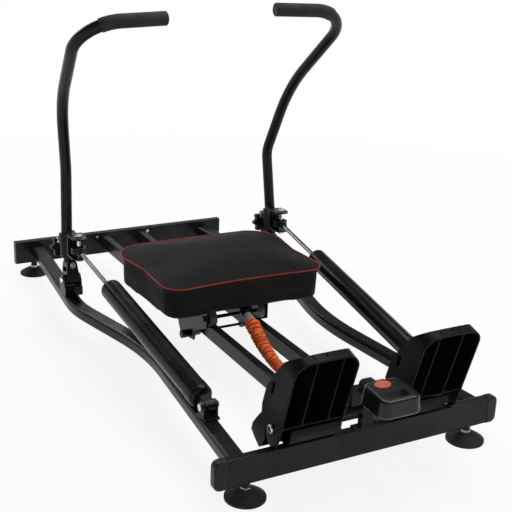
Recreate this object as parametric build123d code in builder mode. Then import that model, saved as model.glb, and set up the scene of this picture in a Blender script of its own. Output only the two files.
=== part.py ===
from build123d import *
from math import atan2, cos, degrees, radians, sin
import os

os.makedirs("parts", exist_ok=True)

# Frame
frame_pitch = 1186.75
front_bar_length = 582.0
front_bar_depth = 16.4
front_bar_height = 53.5
front_bar_bottom = 29.8
rear_bar_length = 589.5
rear_bar_depth = 18.2
rear_bar_height = 59.6
rear_bar_bottom = 33.2
bar_wall = 1.6
bar_corner = 2.5
front_cap_lap = 13.0
front_cap_skin = 0.8
front_cap_bulge = 9.0
front_cap_round = 12.0
rear_cap_thickness = 1.0
rear_plug_depth = 14.0
rail_width = 17.4
rail_height = 34.6
rail_top = 86.5
rail_centre = 52.3
rail_corner = 3.0
side_rail_width = 35.0
side_rail_height = 25.0
side_rail_top = 79.0
side_rail_corner = 6.5
side_rail_rear_x = 236.5
side_rail_bend_x = 274.0
side_rail_bend_reach = 750.0
side_rail_bend_radius = 300.0
side_rail_waist_x = 208.5
side_rail_waist_reach = 471.0
side_rail_waist_radius = 600.0
side_rail_front_x = 251.5
bar_screw_radius = 4.0
bar_screw_height = 2.0
bar_screw_inset = 12.0
bar_screw_drop = 4.0

# Feet
foot_radius = 36.5
foot_rim_height = 4.0
foot_shoulder_radius = 24.0
foot_shoulder_height = 12.0
foot_top_radius = 13.0
foot_height = 17.5
foot_front_x = 236.6
foot_rear_x = 245.7
foot_stud_radius = 5.0
foot_nut_across = 17.0
foot_nut_height = 5.0
foot_bush_radius = 8.0
foot_stud_lap = 14.0

# Clearances and overrun
pin_clearance = 0.05
face_clearance = 0.3
cut_overrun = 2.0

# Arm pivots
arm_x = 265.0
arm_reach = 820.0
arm_pivot_z = 113.0
tilt_pin_along = 35.6
arm_lean_degrees = 1.38
bracket_gap = 33.6
bracket_cheek = 4.0
bracket_base = 20.0
bracket_length = 40.0
bracket_ear_radius = 13.0
gusset_length = 58.0
gusset_height = 20.0
gusset_thickness = 4.0
pivot_pin_radius = 5.0
bolt_head_across = 13.0
bolt_head_height = 4.0
block_barrel_radius = 12.5
fork_width = 28.0
fork_cheek = 4.0
fork_gap = 25.6
fork_floor_along = 20.4
fork_ear_radius = 12.0
tilt_pin_radius = 4.0
arm_lug_width = 25.0
arm_lug_height = 50.0

# Arm tube, as centre line points from the middle, the arm pivots and the floor
arm_radius = 12.5
arm_wall = 1.8
arm_clamp_point = (268.0, 18.0, 213.0)
arm_elbow_point = (262.0, 34.0, 367.0)
arm_shoulder_point = (288.0, -21.0, 533.0)
arm_wrist_point = (321.0, -229.0, 728.0)
arm_end_point = (135.0, -216.0, 733.0)
arm_clamp_bend = 150.0
arm_elbow_bend = 78.0
arm_shoulder_bend = 289.0
arm_wrist_bend = 79.0
arm_hole_radius = 4.0
arm_hole_pitch = 36.0
arm_hole_count = 3
arm_hole_start = 185.0
grip_radius = 14.5
grip_length = 138.0
grip_end_wall = 3.0
grip_end_round = 2.5

# Arm clamp, clevis and knob
clamp_radius = 17.5
clamp_start = 54.0
clamp_length = 56.0
clevis_forward = 49.0
clevis_x = 262.0
clevis_z = 206.0
clevis_radius = 17.0
clevis_plate = 3.0
clevis_half_gap = 22.0
clevis_web_forward = 22.5
clevis_web = 5.0
clevis_bolt_radius = 4.0
clevis_nut_across = 13.0
clevis_nut_height = 6.0
clamp_ear_width = 24.0
clamp_ear_depth = 10.0
clamp_ear_height = 14.0
clamp_bolt_along = 92.0
clamp_bolt_radius = 3.5
knob_along = 73.0
knob_radius = 22.5
knob_lobe_radius = 5.5
knob_edge = 2.5
knob_lobes = 8
knob_thickness = 14.0
knob_boss_radius = 9.0
knob_boss_height = 16.0
knob_stem_radius = 4.0

# Rod eye, rod and cylinder
eye_radius = 16.5
eye_bore_radius = 12.0
eye_height = 14.0
eye_drop = 5.6
eye_setback = 2.7
eye_neck_radius = 8.0
eye_neck_length = 9.0
rod_radius = 5.0
rod_thread_length = 6.0
cylinder_reach = 149.0
cylinder_x = 236.0
cylinder_pivot_z = 102.0
cylinder_start = 24.0
cylinder_length = 426.0
cylinder_radius = 22.5
cylinder_bore_radius = 20.0
cylinder_end_wall = 12.0
cylinder_shoulder = 9.0
collar_radius = 23.5
collar_length = 30.0
lug_radius = 11.0
lug_width = 18.8
lug_play = 0.9
piston_clearance = 0.1
piston_length = 18.0
rod_depth = 370.0
swivel_cheek = 4.0
swivel_base = 3.0
swivel_pin_radius = 6.0
swivel_base_z = 87.0
swivel_ear_radius = 11.0
cylinder_bracket_width = 30.0
cylinder_bracket_length = 34.0

# Foot plates and their axle
axle_z = 121.0
axle_radius = 5.0
axle_half_length = 191.0
axle_head_radius = 8.0
axle_head_height = 5.0
pedal_inner_x = 65.0
pedal_outer_x = 190.0
pedal_bottom = 66.0
pedal_bar_clearance = 0.9
pedal_top = 158.0
pedal_crown = 4.0
pedal_front = 24.0
pedal_wall = 3.0
pedal_sole = 4.0
pedal_corner = 30.0
pedal_lean_degrees = 16.7
pedal_rib_places = (97.0, 148.0)
pedal_rib = 2.0
pedal_boss_radius = 10.0
pedal_ledge_height = 15.0
pedal_slot_length = 26.0
pedal_slot_width = 8.0
pedal_slot_height = 70.0
pedal_slot_depth = 25.0
pedal_notch_places = (103.0, 128.0, 153.0)
pedal_notch_width = 4.0
pedal_notch_depth = 2.0
pedal_lip = 8.0
pedal_heel_gap = 24.0
pedal_hub_inset = 25.0
pedal_tread_radius = 3.0
pedal_tread_inset = 16.0
pedal_tread_points = ((-8.5, 111.6), (5.0, 95.2), (18.6, 77.0), (29.4, 55.5), (36.0, 35.0))
pedal_back_points = (
    (-26.0, 133.0), (15.0, 83.0), (27.0, 63.0), (38.0, 29.0), (38.0, 14.0),
    (53.0, -3.0), (68.0, -22.0), (72.0, -36.0), (60.0, -46.0), (42.0, -57.0), (26.0, -30.0),
)
pedal_collar_radius = 9.0

# Centre post and counter
post_width = 22.0
post_depth = 14.0
post_head_width = 74.0
post_head_bottom = 131.0
post_head_top = 165.0
post_neck_width = 30.0
post_top = 174.0
post_crown = 8.0
post_arm_thickness = 3.0
post_arm_reach = 84.0
post_foot_width = 52.0
post_foot_thickness = 3.0
counter_width = 88.0
counter_reach = 108.0
counter_rear_reach = 28.0
counter_bottom = 151.0
counter_front_z = 184.0
counter_rear_z = 191.0
counter_corner = 20.0
counter_edge = 7.0
counter_draft_degrees = 7.0
counter_wall = 4.0
counter_roof = 8.0
counter_screen_width = 42.0
counter_screen_length = 20.0
counter_screen_corner = 4.0
counter_screen_reach = 84.0
counter_screen_depth = 1.6
counter_screen_thickness = 1.2
counter_button_x = -8.0
counter_button_length = 32.0
counter_button_width = 22.0
counter_button_reach = 52.0
counter_button_rise = 2.2
counter_button_travel = 1.0

# Return strap, its sleeve and anchor
anchor_reach = 45.0
anchor_length = 44.0
anchor_thickness = 3.0
anchor_tongue_width = 26.0
anchor_tongue_z = 78.0
strap_radius = 7.0
strap_top_reach = 450.0
strap_top_z = 122.0
strap_low_z = 58.0
strap_end_reach = 78.0
sleeve_bore_radius = 7.6
sleeve_top_radius = 17.0
sleeve_low_radius = 12.0
sleeve_fold_depth = 2.6
sleeve_folds = 17
sleeve_top_gap = 12.0
sleeve_length = 172.0
socket_radius = 10.0
socket_length = 16.0

# Seat
seat_front_reach = 438.0
seat_length = 304.0
seat_half_width = 195.0
seat_bottom_z = 140.0
seat_belly_z = 158.0
seat_side_z = 185.0
seat_piping_z = 206.0
seat_crown_z = 213.0
seat_top_z = 218.0
seat_bottom_inset = 9.0
seat_belly_inset = 3.0
seat_side_inset = 3.5
seat_crown_inset = 16.0
seat_top_inset = 70.0
pan_inset = 40.0
pan_thickness = 6.0

# Carriage
plate_inner_x = 72.0
plate_thickness = 3.0
plate_front_lap = 12.0
plate_rear_lap = 20.0
plate_tip_z = 28.0
roller_radius = 17.5
roller_width = 14.0
roller_x = 58.0
roller_front_reach = 505.0
roller_rear_reach = 680.0
roller_axle_radius = 4.0
guide_radius = 8.0
guide_reach = 576.0
guide_axle_radius = 3.0
spacer_radius = 6.0
axle_cap_radius = 6.5
axle_cap_height = 3.5
lock_reach = 591.0
lock_z = 36.0
lock_stem_radius = 3.0
lock_knob_radius = 9.0
lock_knob_height = 12.0
lock_washer_radius = 8.0
lock_washer_height = 1.5

# Outlines in shares of the size that each follows
seat_side_shares = (
    (0.769, 0.0), (0.903, 0.039), (0.959, 0.138), (0.954, 0.303), (0.938, 0.451),
    (0.964, 0.566), (1.0, 0.714), (0.923, 0.911), (0.718, 0.993),
)
seat_front_middle_share = 0.026
strap_route_shares = (
    (0.0, 1.0), (0.038, 0.92), (0.223, 0.27), (0.43, 0.0), (0.7, 0.06), (1.0, 0.27),
)
strap_bend_shares = (0.08, 0.42, 0.7, 1.2)
plate_outline_shares = (
    (0.0, 1.0), (1.0, 1.0), (1.0, 0.58), (0.73, 0.31), (0.64, 0.0), (0.53, 0.0),
    (0.30, 0.06), (0.26, 0.31), (0.0, 0.55),
)

# Places that follow from the sizes above
front_y = -(frame_pitch + foot_radius - counter_reach) / 2
rear_y = front_y + frame_pitch
front_bar_top = front_bar_bottom + front_bar_height
front_bar_back = front_y + front_bar_depth / 2
rear_bar_front = rear_y - rear_bar_depth / 2
rail_outer = rail_centre + rail_width / 2
rail_bottom = rail_top - rail_height
side_rail_z = side_rail_top - side_rail_height / 2
pan_bottom = seat_bottom_z - pan_thickness
plate_front_reach = roller_front_reach - plate_front_lap
plate_rear_reach = roller_rear_reach + plate_rear_lap
sides = ((-1, "left"), (1, "right"))


def save(piece, label):
    """Name a finished piece and write it."""
    piece.label = label
    export_step(piece, f"parts/{label}.step")


def across(x, y, z):
    """Plane that faces +X, with its own x along +Y and its y upwards."""
    return Plane((x, y, z), x_dir=(0, 1, 0), z_dir=(1, 0, 0))


def facing_front(x, y, z):
    """Plane that faces -Y, with its own x along +X and its y upwards."""
    return Plane((x, y, z), x_dir=(1, 0, 0), z_dir=(0, -1, 0))


def level(x, y, z):
    """Plane that faces up."""
    return Plane((x, y, z))


def hex_bolt(plane, grip, shank, head_across, head_height):
    """Hexagon bolt and nut: the grip lies centred on the plane, a head at both ends."""
    with BuildPart() as bolt:
        with BuildSketch(plane):
            Circle(shank)
        extrude(amount=grip / 2, both=True)
        for end in (-1, 1):
            with BuildSketch(plane.offset(end * grip / 2)):
                RegularPolygon(head_across / 2, 6, major_radius=False)
            extrude(amount=end * head_height)
    return bolt.part


def side_rail_line(side):
    """Centre line of a bent side rail, from the rear bar to the front bar."""
    with BuildLine() as line:
        FilletPolyline(
            (side * side_rail_rear_x, rear_bar_front, side_rail_z),
            (side * side_rail_bend_x, front_y + side_rail_bend_reach, side_rail_z),
            (side * side_rail_waist_x, front_y + side_rail_waist_reach, side_rail_z),
            (side * side_rail_front_x, front_bar_back, side_rail_z),
            radius=[side_rail_bend_radius, side_rail_waist_radius],
        )
    return line.wire()


def crossbar(label, length, depth, height, centre_y, bottom):
    """Rectangular tube across the machine."""
    with BuildPart() as bar:
        with BuildSketch(across(0, centre_y, bottom + height / 2)):
            RectangleRounded(depth, height, bar_corner)
            RectangleRounded(depth - 2 * bar_wall, height - 2 * bar_wall,
                             bar_corner - bar_wall, mode=Mode.SUBTRACT)
        extrude(amount=length / 2, both=True)
        foot_x = foot_front_x if centre_y == front_y else foot_rear_x
        for side, _ in sides:
            with BuildSketch(level(side * foot_x, centre_y, bottom + bar_wall)):
                Circle(foot_bush_radius)
            extrude(amount=-(bar_wall + bottom - foot_height - foot_nut_height - face_clearance))
            with BuildSketch(level(side * foot_x, centre_y, bottom + bar_wall)):
                Circle(foot_stud_radius + pin_clearance)
            extrude(amount=bottom, both=True, mode=Mode.SUBTRACT)
    save(bar.part, label)


def front_cap(side):
    """Bulged cap that laps over one end of the front bar."""
    end = side * front_bar_length / 2
    mid_z = front_bar_bottom + front_bar_height / 2
    outer_depth = front_bar_depth + 2 * front_cap_skin
    outer_height = front_bar_height + 2 * front_cap_skin
    with BuildPart() as cap:
        facing = Plane((end - side * front_cap_lap, front_y, mid_z), x_dir=(1, 0, 0),
                       z_dir=(0, -1, 0))
        with BuildSketch(facing):
            RectangleRounded(2 * (front_cap_lap + front_cap_bulge), outer_height, front_cap_round)
        extrude(amount=outer_depth / 2, both=True)
        fillet(cap.faces().sort_by(Axis.Y)[0].edges(), bar_corner + front_cap_skin)
        fillet(cap.faces().sort_by(Axis.Y)[-1].edges(), bar_corner + front_cap_skin)
        with BuildSketch(across(end - side * front_cap_lap, front_y, mid_z)):
            Rectangle(outer_depth, outer_height)
        extrude(amount=-side * front_bar_length, mode=Mode.SUBTRACT)
        with BuildSketch(across(end - side * front_cap_lap, front_y, mid_z)):
            RectangleRounded(front_bar_depth, front_bar_height, bar_corner)
        extrude(amount=side * front_cap_lap, mode=Mode.SUBTRACT)
    return cap.part


def rear_cap(side):
    """Flat plug in one end of the rear bar."""
    end = side * rear_bar_length / 2
    mid_z = rear_bar_bottom + rear_bar_height / 2
    with BuildPart() as cap:
        with BuildSketch(across(end, rear_y, mid_z)):
            RectangleRounded(rear_bar_depth, rear_bar_height, bar_corner)
        extrude(amount=side * rear_cap_thickness)
        with BuildSketch(across(end, rear_y, mid_z)):
            RectangleRounded(rear_bar_depth - 2 * bar_wall, rear_bar_height - 2 * bar_wall,
                             bar_corner - bar_wall)
        extrude(amount=-side * rear_plug_depth)
    return cap.part


def frame():
    """Crossbars, end caps, rails and the screws on the bars."""
    crossbar("front_crossbar", front_bar_length, front_bar_depth, front_bar_height,
             front_y, front_bar_bottom)
    crossbar("rear_crossbar", rear_bar_length, rear_bar_depth, rear_bar_height,
             rear_y, rear_bar_bottom)
    save(Compound([front_cap(-1), front_cap(1), rear_cap(-1), rear_cap(1)]), "end_caps")
    for side, word in sides:
        line = side_rail_line(side)
        with BuildPart() as side_rail:
            with BuildSketch(Plane(origin=line @ 0, x_dir=(0, 0, 1), z_dir=line % 0)):
                RectangleRounded(side_rail_height, side_rail_width, side_rail_corner)
                RectangleRounded(side_rail_height - 2 * bar_wall, side_rail_width - 2 * bar_wall,
                                 side_rail_corner - bar_wall, mode=Mode.SUBTRACT)
            sweep(path=line)
            with BuildSketch(facing_front(0, rear_bar_front, side_rail_z)):
                Rectangle(rear_bar_length, side_rail_width)
            extrude(amount=-rear_bar_depth, mode=Mode.SUBTRACT)
            with BuildSketch(facing_front(0, front_bar_back, side_rail_z)):
                Rectangle(front_bar_length, side_rail_width)
            extrude(amount=front_bar_depth, mode=Mode.SUBTRACT)
            with BuildSketch(level(side * cylinder_x, front_y + cylinder_reach, side_rail_top)):
                Circle(swivel_pin_radius + pin_clearance)
            extrude(amount=-bar_wall - cut_overrun, mode=Mode.SUBTRACT)
        save(side_rail.part, f"{word}_side_rail")
        with BuildPart() as rail:
            with BuildSketch(facing_front(side * rail_centre, rear_bar_front,
                                          rail_top - rail_height / 2)):
                RectangleRounded(rail_width, rail_height, rail_corner)
                RectangleRounded(rail_width - 2 * bar_wall, rail_height - 2 * bar_wall,
                                 rail_corner - bar_wall, mode=Mode.SUBTRACT)
            extrude(amount=rear_bar_front - front_bar_back)
        save(rail.part, f"{word}_center_rail")
    with BuildPart() as screws:
        for side, _ in sides:
            with BuildSketch(facing_front(side * (rail_outer + bar_screw_inset), rear_bar_front,
                                          rail_top - bar_screw_drop)):
                Circle(bar_screw_radius)
            extrude(amount=bar_screw_height)
    save(screws.part, "frame_bolts")


def feet():
    """Rubber feet on studs, and the nut of each one."""
    with BuildPart() as nuts:
        for centre_y, foot_x in ((front_y, foot_front_x), (rear_y, foot_rear_x)):
            for side, _ in sides:
                with BuildSketch(level(side * foot_x, centre_y, foot_height + face_clearance)):
                    RegularPolygon(foot_nut_across / 2, 6, major_radius=False)
                    Circle(foot_stud_radius + pin_clearance, mode=Mode.SUBTRACT)
                extrude(amount=foot_nut_height)
    save(nuts.part, "foot_nuts")
    for centre_y, foot_x, row, bottom in (
        (front_y, foot_front_x, "front", front_bar_bottom),
        (rear_y, foot_rear_x, "rear", rear_bar_bottom),
    ):
        for side, word in sides:
            with BuildPart() as foot:
                with BuildSketch(facing_front(side * foot_x, centre_y, 0)):
                    with BuildLine():
                        Polyline(
                            (foot_stud_radius, foot_height), (foot_top_radius, foot_height),
                            (foot_shoulder_radius, foot_shoulder_height),
                            (foot_radius, foot_rim_height), (foot_radius, 0), (0, 0),
                            (0, bottom + foot_stud_lap),
                            (foot_stud_radius, bottom + foot_stud_lap), close=True,
                        )
                    make_face()
                revolve(axis=Axis((side * foot_x, centre_y, 0), (0, 0, 1)))
            save(foot.part, f"{row}_{word}_foot")


def arm_bracket(side):
    """U bracket on the side rail, with a tapered gusset in front of it."""
    x = side * arm_x
    y = front_y + arm_reach
    outer = bracket_gap / 2 + bracket_cheek
    with BuildPart() as bracket:
        with BuildSketch(level(x, y, side_rail_top)):
            Rectangle(2 * outer, bracket_length)
        extrude(amount=bracket_base)
        for end in (-1, 1):
            inner = x + end * bracket_gap / 2
            with BuildSketch(across(inner, y, side_rail_top)):
                with BuildLine():
                    Polyline(
                        (bracket_length / 2, 0), (-bracket_length / 2, 0),
                        (-bracket_ear_radius, arm_pivot_z - side_rail_top),
                    )
                    ThreePointArc(
                        (-bracket_ear_radius, arm_pivot_z - side_rail_top),
                        (0, arm_pivot_z - side_rail_top + bracket_ear_radius),
                        (bracket_ear_radius, arm_pivot_z - side_rail_top),
                    )
                    Line((bracket_ear_radius, arm_pivot_z - side_rail_top),
                         (bracket_length / 2, 0))
                make_face()
            extrude(amount=end * bracket_cheek)
        with BuildSketch(across(x, y - bracket_length / 2, side_rail_top)):
            Polygon((0, 0), (-gusset_length, 0), (0, gusset_height), align=None)
        extrude(amount=gusset_thickness / 2, both=True)
        with BuildSketch(across(x, y, arm_pivot_z)):
            Circle(pivot_pin_radius)
        extrude(amount=outer + cut_overrun, both=True, mode=Mode.SUBTRACT)
    return bracket.part


def arm_mounts():
    """Brackets and pivot bolts that the two arms swing on."""
    save(Compound([arm_bracket(-1), arm_bracket(1)]), "arm_brackets")
    grip = bracket_gap + 2 * bracket_cheek
    bolts = [
        hex_bolt(across(side * arm_x, front_y + arm_reach, arm_pivot_z), grip,
                 pivot_pin_radius, bolt_head_across, bolt_head_height)
        for side, _ in sides
    ]
    save(Compound(bolts), "arm_pivot_bolts")


def pivot_axis():
    """Axis through both arm pivots."""
    return Axis((0, front_y + arm_reach, arm_pivot_z), (1, 0, 0))


def save_arm(piece, name):
    """Write a piece of the right arm and its mirror image, each where its arm stands."""
    for side, word in sides:
        own = piece if side > 0 else piece.mirror(Plane.YZ)
        save(own.rotate(pivot_axis(), -side * arm_lean_degrees), f"{word}_{name}")


def arm_point(point):
    """Place of a centre line point of the right arm."""
    return Vector(point[0], front_y + arm_reach + point[1], point[2])


def arm_foot():
    """Pivot of the right arm and the direction in which the tube leaves it."""
    pivot = arm_point((arm_x, 0, arm_pivot_z))
    return pivot, (arm_point(arm_clamp_point) - pivot).normalized()


def plane_along(pivot, rise, along, turned):
    """Plane across a straight piece, or one in it whose normal points to the rear."""
    centre = pivot + rise * along
    if turned:
        return Plane(centre, x_dir=(-1, 0, 0), z_dir=rise.cross(Vector(1, 0, 0)))
    return Plane(centre, x_dir=(1, 0, 0), z_dir=rise)


def arm_plane(along, turned=False):
    """Plane on the straight foot of the right arm tube."""
    pivot, rise = arm_foot()
    return plane_along(pivot, rise, along, turned)


def block_plane(along, turned=False):
    """Plane on the universal block, which leans back with the arm but not sideways."""
    pivot, rise = arm_foot()
    upright = Vector(0, rise.Y, rise.Z).normalized()
    return plane_along(pivot, upright, along, turned)


def arm_block():
    """Universal block: a barrel on the cross bolt below, a fork for the side tilt above."""
    pin_rise = tilt_pin_along - fork_floor_along
    with BuildPart() as block:
        with BuildSketch(across(arm_x, front_y + arm_reach, arm_pivot_z)):
            Circle(block_barrel_radius)
        extrude(amount=bracket_gap / 2 - face_clearance, both=True)
        with BuildSketch(block_plane(0)):
            Rectangle(fork_width, fork_gap + 2 * fork_cheek)
        extrude(amount=fork_floor_along)
        for end in (-1, 1):
            cheek = block_plane(fork_floor_along, turned=True)
            with BuildSketch(cheek.offset(end * (fork_gap + fork_cheek) / 2)):
                with BuildLine():
                    Polyline(
                        (-fork_ear_radius, pin_rise), (-fork_width / 2, 0),
                        (fork_width / 2, 0), (fork_ear_radius, pin_rise),
                    )
                    ThreePointArc(
                        (fork_ear_radius, pin_rise), (0, pin_rise + fork_ear_radius),
                        (-fork_ear_radius, pin_rise),
                    )
                make_face()
            extrude(amount=fork_cheek / 2, both=True)
        with BuildSketch(across(arm_x, front_y + arm_reach, arm_pivot_z)):
            Circle(pivot_pin_radius + pin_clearance)
        extrude(amount=bracket_gap, both=True, mode=Mode.SUBTRACT)
        with BuildSketch(block_plane(tilt_pin_along, turned=True)):
            Circle(tilt_pin_radius)
        extrude(amount=bracket_gap, both=True, mode=Mode.SUBTRACT)
    save_arm(block.part, "arm_block")
    bolt = hex_bolt(block_plane(tilt_pin_along, turned=True), fork_gap + 2 * fork_cheek,
                    tilt_pin_radius, bolt_head_across, bolt_head_height)
    save_arm(bolt, "tilt_bolt")


def arm_line():
    """Centre line of the right arm tube, from the lug to the end of the grip."""
    pivot, rise = arm_foot()
    with BuildLine() as line:
        FilletPolyline(
            pivot + rise * arm_lug_height,
            arm_point(arm_clamp_point),
            arm_point(arm_elbow_point),
            arm_point(arm_shoulder_point),
            arm_point(arm_wrist_point),
            arm_point(arm_end_point),
            radius=[arm_clamp_bend, arm_elbow_bend, arm_shoulder_bend, arm_wrist_bend],
        )
    return line.wire()


def arm_tube():
    """Bent arm tube with its lug, its adjusting holes, and the foam grip on its end."""
    line = arm_line()
    pin_plane = block_plane(tilt_pin_along, turned=True)
    with BuildPart() as tube:
        with BuildSketch(Plane(line @ 0, z_dir=line % 0)):
            Circle(arm_radius)
            Circle(arm_radius - arm_wall, mode=Mode.SUBTRACT)
        sweep(path=line)
        for step in range(arm_hole_count):
            centre = arm_plane(arm_hole_start + step * arm_hole_pitch).origin
            with BuildSketch(across(centre.X, centre.Y, centre.Z)):
                Circle(arm_hole_radius)
            extrude(amount=arm_radius + cut_overrun, both=True, mode=Mode.SUBTRACT)
        with BuildSketch(pin_plane):
            Circle(arm_lug_width / 2)
        extrude(amount=fork_gap / 2 - face_clearance, both=True)
        with BuildSketch(block_plane(tilt_pin_along)):
            Circle(arm_lug_width / 2)
        with BuildSketch(arm_plane(arm_lug_height)):
            Circle(arm_radius)
        loft()
        with BuildSketch(pin_plane):
            Circle(tilt_pin_radius + pin_clearance)
        extrude(amount=fork_gap, both=True, mode=Mode.SUBTRACT)
    save_arm(tube.part, "arm_tube")
    grip_line = line.trim(1 - grip_length / line.length, 1)
    with BuildPart() as grip:
        with BuildSketch(Plane(grip_line @ 1, z_dir=grip_line % 1)):
            Circle(grip_radius)
        extrude(amount=grip_end_wall)
        end_face = grip.faces().sort_by(Axis(grip_line @ 1, grip_line % 1))[-1]
        fillet(end_face.edges(), grip_end_round)
        with BuildSketch(Plane(grip_line @ 0, z_dir=grip_line % 0)):
            Circle(grip_radius)
            Circle(arm_radius, mode=Mode.SUBTRACT)
        sweep(path=grip_line)
    save_arm(grip.part, "grip")


def arm_clamp():
    """Clamp on the foot of the arm, with the clevis for the rod eye in front of it."""
    x = clevis_x
    y = front_y + arm_reach - clevis_forward
    web_y = front_y + arm_reach - clevis_web_forward
    bolt_plane = arm_plane(clamp_bolt_along, turned=True)
    knob_plane = arm_plane(knob_along, turned=True)
    ear_centre = clamp_radius + clamp_ear_depth / 2
    with BuildPart() as clamp:
        with BuildSketch(arm_plane(clamp_start)):
            Circle(clamp_radius)
        extrude(amount=clamp_length)
        with BuildSketch(bolt_plane.offset(clamp_radius + clamp_ear_depth)):
            Rectangle(clamp_ear_width, clamp_ear_height)
        extrude(amount=-clamp_radius)
        with BuildSketch(knob_plane.offset(clamp_radius - arm_wall)):
            Circle(knob_boss_radius)
        extrude(amount=knob_boss_height + arm_wall)
        with BuildSketch(level(x, web_y, clevis_z)):
            Rectangle(2 * clevis_radius, clevis_web, align=(Align.CENTER, Align.MIN))
            Rectangle(clevis_radius, clevis_web_forward + arm_radius,
                      align=(Align.CENTER, Align.MIN))
        extrude(amount=clevis_half_gap, both=True)
        for end in (-1, 1):
            with BuildSketch(level(x, y, clevis_z + end * clevis_half_gap)):
                Circle(clevis_radius)
                Rectangle(2 * clevis_radius, clevis_forward - clevis_web_forward + clevis_web,
                          align=(Align.CENTER, Align.MIN))
            extrude(amount=end * clevis_plate)
        with BuildSketch(arm_plane(clamp_start)):
            Circle(arm_radius)
        extrude(amount=clamp_length + arm_radius, both=True, mode=Mode.SUBTRACT)
        with BuildSketch(level(x, y, clevis_z)):
            Circle(clevis_bolt_radius)
        extrude(amount=clevis_half_gap + clevis_plate, both=True, mode=Mode.SUBTRACT)
        with BuildSketch(knob_plane):
            Circle(knob_stem_radius + pin_clearance)
        extrude(amount=clamp_radius + knob_boss_height + cut_overrun, mode=Mode.SUBTRACT)
        bolt_centre = bolt_plane.offset(ear_centre).origin
        with BuildSketch(across(bolt_centre.X, bolt_centre.Y, bolt_centre.Z)):
            Circle(clamp_bolt_radius)
        extrude(amount=clamp_ear_width, both=True, mode=Mode.SUBTRACT)
    save_arm(clamp.part, "arm_clamp")
    clevis_bolt = hex_bolt(level(x, y, clevis_z), 2 * (clevis_half_gap + clevis_plate),
                           clevis_bolt_radius, clevis_nut_across, clevis_nut_height)
    clamp_bolt = hex_bolt(across(bolt_centre.X, bolt_centre.Y, bolt_centre.Z), clamp_ear_width,
                          clamp_bolt_radius, bolt_head_across, bolt_head_height)
    save_arm(Compound([clevis_bolt, clamp_bolt]), "clamp_bolts")
    knob_seat = knob_plane.offset(clamp_radius + knob_boss_height + face_clearance)
    with BuildPart() as knob:
        with BuildSketch(knob_seat):
            Circle(knob_radius)
            with PolarLocations(knob_radius, knob_lobes):
                Circle(knob_lobe_radius)
        extrude(amount=knob_thickness)
        fillet(knob.faces().sort_by(Axis(knob_seat.origin, knob_seat.z_dir))[-1].edges(),
               knob_edge)
        with BuildSketch(knob_seat):
            Circle(knob_stem_radius)
        extrude(amount=arm_radius - clamp_radius - knob_boss_height)
    save_arm(knob.part, "star_knob")


def cylinder_axis(side):
    """Base pivot of a cylinder, the direction of its axis and the distance to the rod eye."""
    base = Vector(side * cylinder_x, front_y + cylinder_reach, cylinder_pivot_z)
    pivot = Vector(side * clevis_x, front_y + arm_reach, arm_pivot_z)
    arm = Vector(0, eye_setback - clevis_forward, clevis_z - eye_drop - arm_pivot_z)
    eye = pivot + arm.rotate(Axis.X, -side * arm_lean_degrees)
    return base, (eye - base).normalized(), (eye - base).length


def cylinder_plane(side, along):
    """Plane across a cylinder at a distance from its base pivot."""
    base, rise, _ = cylinder_axis(side)
    return Plane(base + rise * along, x_dir=(1, 0, 0), z_dir=rise)


def cylinder(side, word):
    """Cylinder body, open at the gland, with the lug at its base."""
    with BuildPart() as body:
        with BuildSketch(cylinder_plane(side, cylinder_start)):
            Circle(cylinder_radius)
        extrude(amount=cylinder_length)
        with BuildSketch(cylinder_plane(side, cylinder_start)):
            Circle(collar_radius)
        extrude(amount=collar_length)
        rise = cylinder_axis(side)[1]
        axis = Axis(cylinder_plane(side, 0).origin, rise)
        fillet(body.faces().sort_by(axis)[-1].edges(), cylinder_shoulder)
        fillet(body.faces().sort_by(axis)[0].edges(), cylinder_shoulder)
        with BuildSketch(cylinder_plane(side, cylinder_start + cylinder_end_wall)):
            Circle(cylinder_bore_radius)
        extrude(amount=cylinder_length - 2 * cylinder_end_wall, mode=Mode.SUBTRACT)
        with BuildSketch(cylinder_plane(side, cylinder_start + cylinder_length)):
            Circle(rod_radius + piston_clearance)
        extrude(amount=-cylinder_end_wall - cut_overrun, mode=Mode.SUBTRACT)
        base = cylinder_plane(side, 0).origin
        with BuildSketch(across(base.X, base.Y, base.Z)):
            Circle(lug_radius)
        extrude(amount=lug_width / 2, both=True)
        with BuildSketch(cylinder_plane(side, 0)):
            Rectangle(lug_width, 2 * (lug_radius - pin_clearance))
        extrude(amount=cylinder_start + cut_overrun)
        with BuildSketch(across(base.X, base.Y, base.Z)):
            Circle(pivot_pin_radius + pin_clearance)
        extrude(amount=lug_width, both=True, mode=Mode.SUBTRACT)
    save(body.part, f"{word}_cylinder")


def piston_rod(side, word):
    """Rod with its piston, and the ring that stands round the clevis bolt."""
    reach = cylinder_axis(side)[2]
    centre = cylinder_plane(side, reach).origin
    neck_end = reach - eye_bore_radius - eye_neck_length
    with BuildPart() as rod:
        with BuildSketch(cylinder_plane(side, reach - rod_depth)):
            Circle(rod_radius)
        extrude(amount=neck_end + rod_thread_length - reach + rod_depth)
        with BuildSketch(cylinder_plane(side, reach - rod_depth)):
            Circle(cylinder_bore_radius - piston_clearance)
        extrude(amount=piston_length)
    with BuildPart() as eye:
        with BuildSketch(Plane(centre)):
            Circle(eye_radius)
        extrude(amount=eye_height / 2, both=True)
        with BuildSketch(cylinder_plane(side, neck_end)):
            Circle(eye_neck_radius)
        extrude(amount=eye_neck_length)
        with BuildSketch(Plane(centre)):
            Circle(eye_bore_radius)
        extrude(amount=eye_height, both=True, mode=Mode.SUBTRACT)
        with BuildSketch(cylinder_plane(side, neck_end)):
            Circle(rod_radius)
        extrude(amount=rod_thread_length, mode=Mode.SUBTRACT)
    save(rod.part, f"{word}_piston_rod")
    save(eye.part, f"{word}_rod_eye")


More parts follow.
